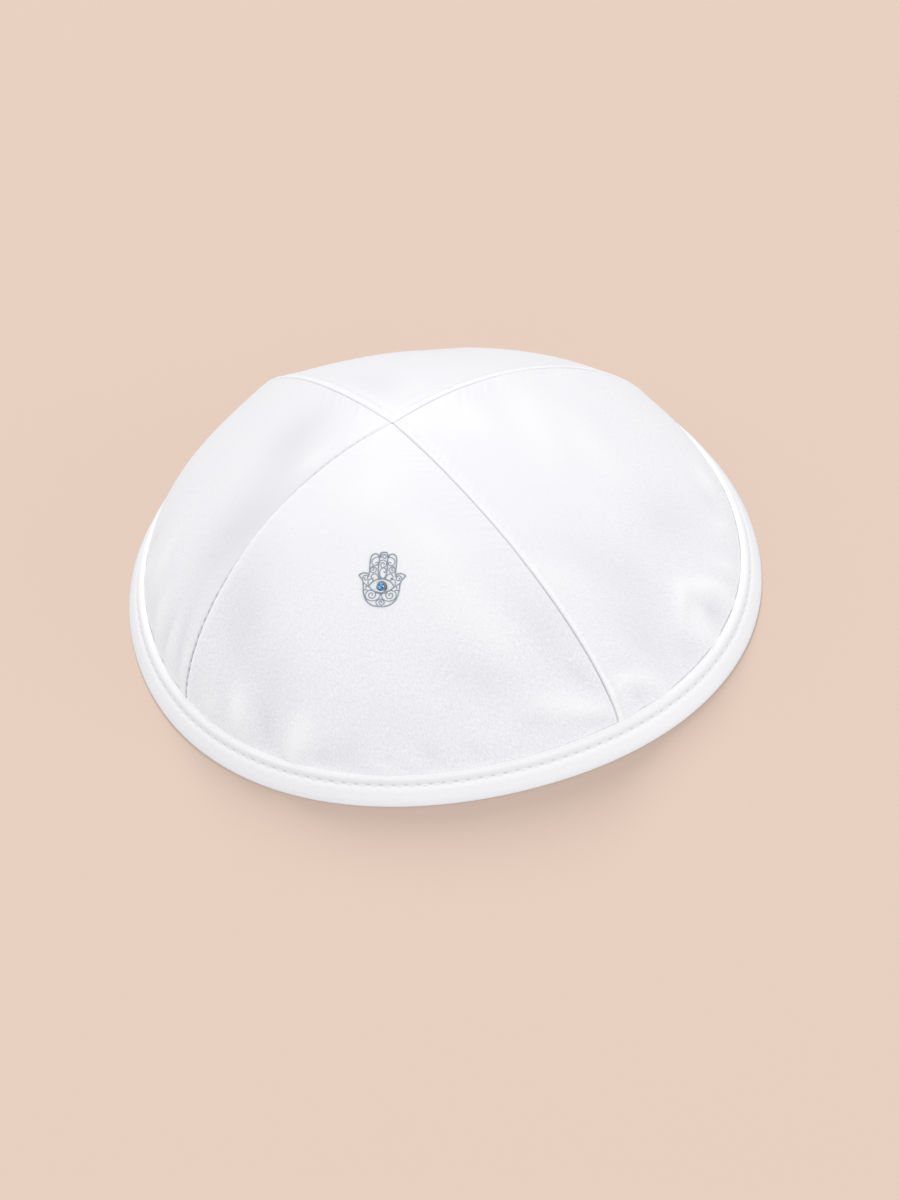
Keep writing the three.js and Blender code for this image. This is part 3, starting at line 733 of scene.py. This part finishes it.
binding = {
    "stitchPitch": 3.15 * mm,
    "stepsPerStitch": 8,
    "stitchAlong": 2.35 * mm,
    "threadRadius": 0.15 * mm,
    "dimple": 0.16 * mm,
    "scallop": 0.42 * mm,
    "holeShade": 0.42,
    # painted light and shade against distance down the face, in millimetres: painted highlight on the lip,
    # painted shade on the roll, painted highlight on the top of the band, a little painted shade at the lower
    # edge
    "paintedLightShade": [(-1.2, -0.5), (-0.9, -1), (-0.4, -1), (0.1, -0.4), (0.7, 0), (1.4, 0.06), (2.1, 0.1), (2.35, 0.08),
             (2.5, -0.1), (2.75, -0.7), (3.2, -0.5), (4.2, 0), (6.2, 0), (7.4, 0.08)],
    # at the front the lip is turned further down: how far, in which direction and over what angle
    "lipDrop": (0.95 * mm, math.radians(265), math.radians(30)),
    # lip, roll, foot of the roll at the stitches, flat band: distance down the face and height above it, in
    # millimetres, and how much of the lip's drop and sink it takes
    "face": [(0.25, -1.35, 0.6, 0), (-0.45, -1.24, 1, 0.1), (-0.88, -0.86, 1, 1), (-0.96, -0.66, 1, 1),
             (-0.74, -0.37, 1, 0.8), (-0.42, -0.06, 0.8, 0.45), (0, 0.24, 0.5, 0.15), (0.5, 0.42, 0.2, 0),
             (1.0, 0.45, 0, 0), (1.5, 0.37, 0, 0), (1.95, 0.22, 0, 0), (2.3, 0.1, 0, 0), (2.6, 0.13, 0, 0),
             (2.95, 0.2, 0, 0), (3.5, 0.26, 0, 0), (4.5, 0.29, 0, 0), (5.6, 0.27, 0, 0), (6.6, 0.16, 0, 0),
             (7.5, 0, 0, 0)],
    # distance in from the rim and height above the rest plane, in millimetres
    "foot": [(0.12, 0.62), (0.34, 0.22), (0.75, 0.04), (1.25, 0), (2.4, 0), (3.6, 0)],
}
# the inner leaf and the slot that the hem sits in: distance down the face and depth below it, in millimetres
slotMm, deepMm = slotDepth / mm, (slotDepth + cap["leafWall"]) / mm
binding["inner"] = [(5.1, deepMm), (4.0, deepMm + 0.1), (3.0, deepMm), (2.4, deepMm - 0.12),
                    (1.8, deepMm + 0.05), (1.1, deepMm), (0.75, deepMm - 0.4), (0.85, slotMm - 0.25),
                    (1.3, slotMm - 0.02), (3, slotMm)]
slotEndMm, leafMm = slotLength / mm - 0.2, cap["leafWall"] / mm
binding["slot"] = [(slotEndMm, slotMm), (slotEndMm, leafMm), (1.3, leafMm)]


# Catmull-Rom through open points, a few steps for each span
def smoothLine(points, steps):
    points = np.asarray(points, float)
    padded = np.concatenate([points[:1], points, points[-1:]])
    share = np.linspace(0, 1, steps, endpoint=False)[:, None]
    made = []
    for a, b, c, d in zip(padded, padded[1:], padded[2:], padded[3:]):
        bend = (2 * a - 5 * b + 4 * c - d) * share**2
        twist = (3 * b - a - 3 * c + d) * share**3
        made.append(0.5 * (2 * b + (c - a) * share + bend + twist))
    return np.concatenate([*made, points[-1:]])


rimCount = round(2 * math.pi * (footRadius + 1.2 * mm) / binding["stitchPitch"])
bindingFace = smoothLine(binding["face"], 2) * [mm, mm, 1, 1]


# Height and painted highlight and shade of the outer face: the band hangs lower between the stitches and is drawn
# up at each hole
def bindingLift(azimuth, along):
    phase = azimuth / (2 * np.pi) * rimCount
    toHole = (phase - np.round(phase)) * binding["stitchPitch"]
    fromRow = along - binding["stitchAlong"]
    hanging = binding["scallop"] * (0.5 - 0.5 * np.cos(2 * np.pi * phase))
    below = smoothStep(0, 0.3 * mm, fromRow) * (1 - smoothStep(0.9 * mm, 2.4 * mm, fromRow))
    start = int(np.argmin(bindingFace[:, 0]))  # up to here the lip folds back on itself
    lift = np.broadcast_to(bindingFace[None, :, 1], along.shape).copy()
    shifted = along[:, start:] - (hanging * below)[:, start:]
    lift[:, start:] = np.interp(shifted, bindingFace[start:, 0], bindingFace[start:, 1])
    dimple = np.exp(-(toHole / (0.42 * mm)) ** 2 - ((fromRow - 0.35 * toHole) / (0.27 * mm)) ** 2)
    wave = ripple(azimuth * rimRadius, (3.15 * mm, 9.7 * mm, 17 * mm, 41 * mm), 0.9)
    flat = smoothStep(2.4 * mm, 4 * mm, along) * (1 - smoothStep(6.6 * mm, 7.8 * mm, along))
    lift = lift - binding["dimple"] * dimple + 0.08 * mm * wave * flat
    table = np.array(binding["paintedLightShade"])
    paintedLightShade = np.interp(np.where(fromRow > 0, along - hanging * below, along), table[:, 0] * mm, table[:, 1])
    # painted shade in the stitch holes
    paintedLightShade = paintedLightShade + binding["holeShade"] * dimple
    return lift, paintedLightShade


def bindingPoint(azimuth, along, lift):
    radius, height = facePlace(along, -lift)
    radius = radius + bulge(azimuth)
    return np.stack([radius * np.cos(azimuth), radius * np.sin(azimuth), height + 0 * azimuth], -1)


def makeBinding():
    foot = [(rimRadius - inward * mm, height * mm) for inward, height in binding["foot"]]
    inner = smoothLine(binding["inner"], 2)
    rest = foot + [facePlace(along * mm, depth * mm) for along, depth in inner]
    rest += [facePlace(along * mm, depth * mm) for along, depth in binding["slot"]]
    rest = np.array(rest)
    steps = rimCount * binding["stepsPerStitch"]
    azimuth = np.arange(steps)[:, None] / steps * 2 * np.pi
    along = np.broadcast_to(bindingFace[None, :, 0], (steps, len(bindingFace)))
    lift, paintedLightShade = bindingLift(azimuth, along)
    drop, towards, spread = binding["lipDrop"]
    drop = drop * np.exp((np.cos(azimuth - towards) - 1) / spread**2)
    outer = bindingPoint(azimuth, along + drop * bindingFace[:, 2], lift - 0.6 * drop * bindingFace[:, 3])
    radius = rest[None, :, 0] + bulge(azimuth)
    height = np.broadcast_to(rest[None, :, 1], radius.shape)
    under = np.stack([radius * np.cos(azimuth), radius * np.sin(azimuth), height], -1)
    points = np.concatenate([outer, under], axis=1)
    columns = points.shape[1]
    faces = gridFaces(steps, columns, wrapRows=True, wrapColumns=True, flip=True)
    flow = np.concatenate([[0], np.cumsum(np.linalg.norm(np.diff(points[0], axis=0), axis=1))])
    uv = np.stack(np.broadcast_arrays(azimuth * rimRadius, flow[None, :]), -1).reshape(-1, 2)
    marks = {"paintedLightShade": np.concatenate([paintedLightShade, np.zeros(radius.shape)], axis=1), "grain": 0.35}
    return meshPiece("binding_satin", points.reshape(-1, 3), faces, [bindingSatin],
                     ["rim_binding"], uv=uv, marks=marks)


def makeBindingStitches():
    parts = []
    innerAlong, innerDepth = 2.35 * mm, slotDepth + cap["leafWall"] - 0.12 * mm
    for k in range(rimCount):
        turns = np.array([k + 0.13, k + 0.87]) / rimCount * 2 * np.pi
        slant = np.array([-0.14, 0.16]) * mm
        outward = np.array([-alongZ * math.cos(turns.mean()), -alongZ * math.sin(turns.mean()), alongR])
        ends = bindingPoint(turns, binding["stitchAlong"] + slant, np.full(2, 0.1 * mm))
        parts.append(stitchMesh(ends[0], ends[1], outward, binding["threadRadius"], 0.34 * mm))
        ends = bindingPoint(turns, innerAlong - slant, np.full(2, -innerDepth - 0.1 * mm))
        parts.append(stitchMesh(ends[0], ends[1], -outward, binding["threadRadius"], 0.25 * mm))
    points, faces = joinMeshes(parts)
    return meshPiece("binding_stitches", points, faces, [threadFinish])


makeBinding()
makeBindingStitches()
print("binding made with", rimCount, "stitches")

# Hand ornament

emblem = {
    "width": 12.4 * mm,
    "height": 14.9 * mm,
    "outline": 0.31 * mm,
    "scroll": 0.23 * mm,
    "outlineRise": 0.22 * mm,
    "scrollRise": 0.18 * mm,
    "eyeShare": -0.3,
    "across": 0.517,
    "down": 0.427,
    "stoneRadius": 0.94 * mm,
}
# Wires through points in shares of the half width and half height. Outlines and side scrolls are mirrored.
outlineRows = [
    # middle finger, side finger, thumb and palm, upper lid, lower lid
    [(0, 0.975), (0.11, 0.965), (0.165, 0.87), (0.18, 0.6), (0.19, 0.35), (0.175, 0.18), (0.12, 0.06), (0.02, 0)],
    [(0.19, 0.82), (0.28, 0.9), (0.38, 0.915), (0.48, 0.875), (0.545, 0.78), (0.565, 0.58), (0.555, 0.3),
     (0.565, 0.17), (0.6, 0.09)],
    [(0.57, 0.07), (0.6, 0.155), (0.68, 0.205), (0.79, 0.21), (0.9, 0.185), (1, 0.13)],
    [(1, 0.14), (0.93, 0.06), (0.85, -0.02), (0.8, -0.12), (0.775, -0.25), (0.765, -0.38), (0.745, -0.5),
     (0.7, -0.64), (0.6, -0.79), (0.42, -0.915), (0.21, -0.975), (-0.01, -0.99)],
    [(0.55, -0.27), (0.43, -0.14), (0.26, -0.04), (0.1, 0), (-0.01, 0.01)],
    [(0.55, -0.27), (0.43, -0.37), (0.3, -0.44), (0.16, -0.505), (-0.01, -0.53)],
]
sideRows = [
    # finger: open curl, round scroll and hook
    [(0.19, 0.79), (0.33, 0.785), (0.45, 0.72), (0.49, 0.62), (0.44, 0.52), (0.33, 0.49), (0.24, 0.53),
     (0.22, 0.59), (0.29, 0.61), (0.34, 0.57)],
    [(0.5, 0.45), (0.38, 0.445), (0.295, 0.4), (0.275, 0.32), (0.32, 0.25), (0.41, 0.225), (0.5, 0.265),
     (0.525, 0.345), (0.48, 0.41), (0.41, 0.405), (0.375, 0.355), (0.405, 0.315), (0.445, 0.335)],
    [(0.15, 0.01), (0.185, 0.1), (0.26, 0.165), (0.36, 0.18), (0.445, 0.13), (0.465, 0.05), (0.41, 0.02),
     (0.36, 0.05)],
    # thumb: scroll
    [(0.85, -0.01), (0.81, 0.08), (0.73, 0.13), (0.64, 0.1), (0.61, 0.02), (0.66, -0.045), (0.74, -0.035),
     (0.76, 0.02), (0.71, 0.045)],
    # palm: arc beside the eye, tie to its corner, small hook, bar
    [(0.565, -0.21), (0.585, -0.11), (0.55, -0.035), (0.47, -0.01), (0.39, -0.025), (0.33, -0.075)],
    [(0.79, -0.13), (0.68, -0.2), (0.56, -0.27), (0.62, -0.26), (0.66, -0.3), (0.64, -0.345)],
    [(0.745, -0.42), (0.66, -0.39), (0.57, -0.42)],
    # palm: large scroll below the eye
    [(0.02, -0.54), (0.06, -0.67), (0.18, -0.76), (0.38, -0.79), (0.57, -0.73), (0.655, -0.61),
     (0.61, -0.48), (0.46, -0.415), (0.3, -0.45), (0.215, -0.56), (0.27, -0.67), (0.4, -0.7),
     (0.505, -0.63), (0.49, -0.53), (0.39, -0.51), (0.34, -0.57), (0.39, -0.6)],
]
middleRows = [
    # middle finger, from the top: two scrolls and a tall curl
    [(-0.1, 0.77), (-0.115, 0.84), (-0.06, 0.895), (0.03, 0.9), (0.095, 0.85), (0.09, 0.78), (0.03, 0.75),
     (-0.035, 0.775), (-0.04, 0.825), (0.01, 0.84)],
    [(-0.175, 0.58), (-0.11, 0.665), (0, 0.69), (0.11, 0.64), (0.135, 0.54), (0.08, 0.44), (-0.02, 0.42),
     (-0.09, 0.475), (-0.09, 0.555), (-0.025, 0.6), (0.04, 0.56), (0.02, 0.51)],
    [(0.03, 0.03), (-0.06, 0.07), (-0.115, 0.17), (-0.115, 0.28), (-0.06, 0.37), (0.03, 0.4), (0.115, 0.37),
     (0.15, 0.3), (0.12, 0.24), (0.06, 0.25), (0.055, 0.29)],
    # bottom scroll
    [(-0.08, -0.975), (-0.17, -0.88), (-0.165, -0.79), (-0.07, -0.74), (0.05, -0.735), (0.15, -0.79),
     (0.165, -0.87), (0.08, -0.925), (-0.02, -0.91), (-0.06, -0.84), (0, -0.785), (0.065, -0.82), (0.03, -0.86)],
]
halfWidth = (emblem["width"] - emblem["outline"]) / 2
halfHeight = (emblem["height"] - emblem["outline"]) / 2
eyeHeight = emblem["eyeShare"] * halfHeight

frontStart, frontWidth = spanOf("front")
seatAzimuth = frontStart + emblem["across"] * frontWidth
seat = crownPoint(np.array(seatAzimuth), np.array(emblem["down"]))
seatOut = crownNormal(np.array(seatAzimuth), np.array(emblem["down"]))
seatUp = unit(np.array([0, 0, 1]) - seatOut[2] * seatOut)
seatRight = np.cross(seatUp, seatOut)


# Lays flat points (x right, y up) on the front panel, a height above the cloth, by a few Newton steps
def layOnPanel(flat, height):
    flat = np.atleast_2d(flat)
    azimuth = np.full(len(flat), seatAzimuth)
    down = np.full(len(flat), emblem["down"])
    step = 1e-4

    def miss(a, d):
        away = crownPoint(a, d) - seat
        return np.stack([away @ seatRight, away @ seatUp], -1) - flat

    for _ in range(6):
        here = miss(azimuth, down)
        turn = (miss(azimuth + step, down) - here) / step
        sink = (miss(azimuth, down + step) - here) / step
        area = turn[:, 0] * sink[:, 1] - sink[:, 0] * turn[:, 1]
        azimuth = azimuth - (sink[:, 1] * here[:, 0] - sink[:, 0] * here[:, 1]) / area
        down = down - (turn[:, 0] * here[:, 1] - turn[:, 1] * here[:, 0]) / area
    normal = crownNormal(azimuth, down)
    cloth = clothPoint("front", azimuth, down)
    return cloth + normal * np.broadcast_to(height, len(flat))[:, None]


# A domed wire along a flat line, closed at both ends
def wireMesh(line, width, rise):
    section = [(-0.5, 0), (-0.5, 0.45), (-0.32, 0.85), (0, 1), (0.32, 0.85), (0.5, 0.45), (0.5, 0)]
    tangent = np.gradient(line, axis=0)
    aside = unit(np.stack([-tangent[:, 1], tangent[:, 0]], -1))
    taper = np.ones(len(line))
    taper[0] = taper[-1] = 0.55
    points = []
    for across, high in section:
        points.append(layOnPanel(line + aside * (across * width * taper)[:, None], high * rise * taper))
    points = np.stack(points, 1)
    return points.reshape(-1, 3), tubeFaces(*points.shape[:2])


def makeFiligree():
    parts = []
    for side in (1, -1):
        for rows, kind in ((outlineRows, "outline"), (sideRows, "scroll"), (middleRows, "scroll")):
            if side == 1 or rows is not middleRows:
                for row in rows:
                    line = smoothLine(row, 6) * [side * halfWidth, halfHeight]
                    parts.append(wireMesh(line, emblem[kind], emblem[kind + "Rise"]))
    points, faces = joinMeshes(parts)
    return meshPiece("hamsa_filigree", points, faces, [slateFoil], ["hamsa_emblem"])


# Frame of the stone's setting: its foot on the cloth, and right, up and out
settingFoot = layOnPanel(np.array([0.0, eyeHeight]), 0.0)[0]
settingOut = unit(layOnPanel(np.array([0.0, eyeHeight]), 1 * mm)[0] - settingFoot)
settingUp = unit(seatUp - (seatUp @ settingOut) * settingOut)
settingRight = np.cross(settingUp, settingOut)


def inSetting(points):
    points = np.asarray(points)
    x, y, z = points[:, :1], points[:, 1:2], points[:, 2:]
    return settingFoot + x * settingRight + y * settingUp + z * settingOut


# Section of the cup, radius and height in millimetres: its rounded wall, then the seat inside it
bezel = {
    "wall": [(1.43, 0.02), (1.5, 0.2), (1.5, 0.5), (1.44, 0.66), (1.33, 0.72), (1.2, 0.68), (1.08, 0.55)],
    "seat": [(1.0, 0.42), (0.98, 0.32), (0.5, 0.3)],
}


# The bezel's colour carries a painted reflection: painted dark on its outer wall, most on its upper right, and
# bright inside
def makeBezel():
    profile = np.concatenate([smoothLine(bezel["wall"], 3), bezel["seat"]]) * mm
    sides = 56
    turn = np.arange(sides) / sides * 2 * np.pi
    x = profile[None, :, 0] * np.cos(turn)[:, None]
    y = profile[None, :, 0] * np.sin(turn)[:, None]
    z = np.broadcast_to(profile[None, :, 1], x.shape)
    points = np.stack([x, y, z], -1).reshape(-1, 3)
    columns = len(profile)
    faces = gridFaces(sides, columns, wrapRows=True).tolist()
    faces.append([side * columns + columns - 1 for side in range(sides)])
    faces.append([side * columns for side in range(sides - 1, -1, -1)])
    # painted reflection and shade: dark on the outer wall, most towards the upper right
    shaded = 0.1 + 0.9 * smoothStep(-0.5, 0.4, np.cos(turn - math.radians(40)))[:, None]
    dark = shaded * smoothStep(1.16 * mm, 1.3 * mm, profile[None, :, 0])
    return meshPiece("eye_bezel_cup", inSetting(points), faces, [bezelSilver], ["eye_bezel"],
                     marks={"paintedLightShade": dark})


def makeStoneFinish():
    material, tree, shader = newMaterial("blueStone")
    ramp = addNode(tree, "ShaderNodeValToRGB", {"Fac": markOf(tree, "facetPaintedGlint")})
    # facet colours from dark navy to a near-white painted glint
    stops = [(0, (0.002, 0.05, 0.2, 1)), (0.4, (0.02, 0.24, 0.66, 1)), (0.75, (0.1, 0.54, 0.98, 1)),
             (1, (0.7, 0.93, 1, 1))]
    first, last = ramp.color_ramp.elements
    first.color = stops[0][1]
    last.color = stops[3][1]
    for place, colour in stops[1:3]:
        ramp.color_ramp.elements.new(place).color = colour
    setInputs(tree, shader, {
        "Base Color": ramp.outputs["Color"],
        "Roughness": 0.06,
        "IOR": 1.5,
        "Transmission Weight": 0.2,
        "Coat Weight": 0.1,
    })
    return material


# Round brilliant with a flat back: table, star, kite and girdle facets
def makeStone():
    radius, base = emblem["stoneRadius"], 0.4 * mm
    rings = [(0.82, 0.0, 16, 0.0), (1.0, 0.22, 16, 0.0), (1.0, 0.3, 16, 0.0), (0.78, 0.52, 8, 0.5),
             (0.54, 0.66, 8, 0.0)]
    points, first = [], []
    for share, high, sides, turn in rings:
        first.append(len(points))
        for k in range(sides):
            angle = (k + turn) / sides * 2 * math.pi
            reached = share * radius
            points.append((reached * math.cos(angle), reached * math.sin(angle), base + high * mm))
    tableMiddle = len(points)
    points.append((0, 0, base + rings[4][1] * mm))
    faces = [[first[0] + k for k in range(15, -1, -1)]]
    faces += [[first[4] + k, first[4] + (k + 1) % 8, tableMiddle] for k in range(8)]
    for lower, upper in (first[:2], first[1:3]):
        faces += [[lower + k, lower + (k + 1) % 16, upper + (k + 1) % 16, upper + k] for k in range(16)]
    for k in range(8):
        kite, nextKite = first[3] + k, first[3] + (k + 1) % 8
        table, nextTable = first[4] + k, first[4] + (k + 1) % 8
        low, middle, high = first[2] + 2 * k, first[2] + 2 * k + 1, first[2] + (2 * k + 2) % 16
        faces += [[low, middle, kite], [middle, high, kite], [table, kite, nextTable]]
        faces.append([kite, high, nextKite, nextTable])
    piece = meshPiece("eye_stone_cut", inSetting(points), faces, [makeStoneFinish()],
                      ["eye_stone"])
    piece.data.polygons.foreach_set("use_smooth", np.zeros(len(faces), bool))
    # each facet gets a painted reflection tone, from dark to a painted glint
    paintedGlints = piece.data.attributes.new("facetPaintedGlint", "FLOAT", "FACE")
    values = [0.5, 0.85, 0.3, 0.62, 0.1, 0.95, 0.4, 0.7, 0.2] + [0.25] * 32
    values += [(0.08, 0.85, 0.5, 1.0, 0.25, 0.65)[(k * 5 + k // 3) % 6] for k in range(32)]
    paintedGlints.data.foreach_set("value", values)
    return piece


makeFiligree()
makeBezel()
makeStone()
print("hand ornament made")

# Floor, light and camera

studio = {
    "floor": (0.300, 0.2345, 0.196, 1),
    "floorGlow": 0.95,
    "floorHalf": 4.0,
    "floorLevel": -0.02 * mm,
    "floorGrain": mm / 0.9,
    "world": (1.0, 1.0, 1.0, 1),
    "worldStrength": 0.75,
    # direction each broad light comes from, its share of a white surface's brightness, its width in degrees
    "lights": {
        "overhead": ((-0.13, 0.22, 0.97), 0.13, 50),
        "behind": ((-0.08, 0.78, 0.62), 0.16, 24),
        "front": ((0.1, -0.95, 0.27), 0.1, 40),
        "right": ((0.9, -0.33, 0.27), 0.19, 40),
        "left": ((-0.8, -0.1, 0.5), 0.1, 40),
    },
    # a light from behind that only the floor receives, for the soft shadow under the front of the rim
    "floorLight": ((-0.17, 0.74, 0.65), 0.95, 22),
    "azimuth": 9.79,
    "elevation": 41.75,
    "roll": 7.4,
    "distance": 8.889,
    "pixelsPerRadius": 319.6,
    "centre": (442.2, 575.1),
    "picture": (900, 1200),
}


def makeFloor():
    mesh = bpy.data.meshes.new("floor")
    half, level = studio["floorHalf"], studio["floorLevel"]
    corners = [(-half, -half, level), (half, -half, level), (half, half, level), (-half, half, level)]
    mesh.from_pydata(corners, [], [(0, 1, 2, 3)])
    floor = bpy.data.objects.new("floor", mesh)
    bpy.context.scene.collection.objects.link(floor)
    material, tree, shader = newMaterial("floorPaper")
    place = addNode(tree, "ShaderNodeTexCoord").outputs["Object"]
    deep = tuple(0.985 * c for c in studio["floor"][:3]) + (1,)
    setInputs(tree, shader, {
        "Base Color": colourMix(tree, noiseOf(tree, place, studio["floorGrain"], 2), deep, studio["floor"]),
        "Emission Color": studio["floor"],  # keeps the shade close beside the rim light
        "Emission Strength": studio["floorGlow"],
        "Roughness": 0.9,
        "Specular IOR Level": 0.1,
    })
    mesh.materials.append(material)
    floor.visible_diffuse = False  # both keep the floor's colour off the white cloth
    floor.visible_glossy = False
    return floor


def broadLight(name, direction, share, width):
    data = bpy.data.lights.new(name, "SUN")
    data.energy = share * math.pi
    data.angle = math.radians(width)
    light = bpy.data.objects.new(name, data)
    light.location = Vector(direction) * 2
    light.rotation_mode = "QUATERNION"
    light.rotation_quaternion = Vector(direction).to_track_quat("Z", "Y")
    bpy.context.scene.collection.objects.link(light)
    return light


def makeWorld():
    world = bpy.data.worlds.new("studio")
    world.use_nodes = True
    background = world.node_tree.nodes["Background"]
    background.inputs["Color"].default_value = studio["world"]
    background.inputs["Strength"].default_value = studio["worldStrength"]
    bpy.context.scene.world = world


# The camera stands at the photograph's angle, rolled a little, and is shifted only to frame the cap
def makeCamera():
    a, e, roll = (math.radians(studio[key]) for key in ("azimuth", "elevation", "roll"))
    back = Vector((math.sin(a) * math.cos(e), -math.cos(a) * math.cos(e), math.sin(e)))
    data = bpy.data.cameras.new("camera")
    width, height = studio["picture"]
    data.sensor_width = 36
    focalPixels = studio["pixelsPerRadius"] * studio["distance"]
    data.lens = focalPixels / height * data.sensor_width
    data.shift_x = (width / 2 - studio["centre"][0]) / height
    data.shift_y = (studio["centre"][1] - height / 2) / height
    data.clip_start = 0.01
    data.clip_end = 50
    camera = bpy.data.objects.new("camera", data)
    camera.location = back * studio["distance"] * rimRadius
    camera.rotation_mode = "QUATERNION"
    level = back.to_track_quat("Z", "Y").to_matrix()
    camera.rotation_quaternion = (level @ Matrix.Rotation(-roll, 3, "Z")).to_quaternion()
    bpy.context.scene.collection.objects.link(camera)
    bpy.context.scene.camera = camera


floor = makeFloor()
makeWorld()
for lightName, (direction, share, lightWidth) in studio["lights"].items():
    broadLight(lightName, direction, share, lightWidth)
lit = bpy.data.collections.new("floorOnly")
lit.objects.link(floor)
broadLight("floorLight", *studio["floorLight"]).light_linking.receiver_collection = lit
makeCamera()
bpy.context.scene.view_settings.view_transform = "Standard"
print("floor, light and camera ready")
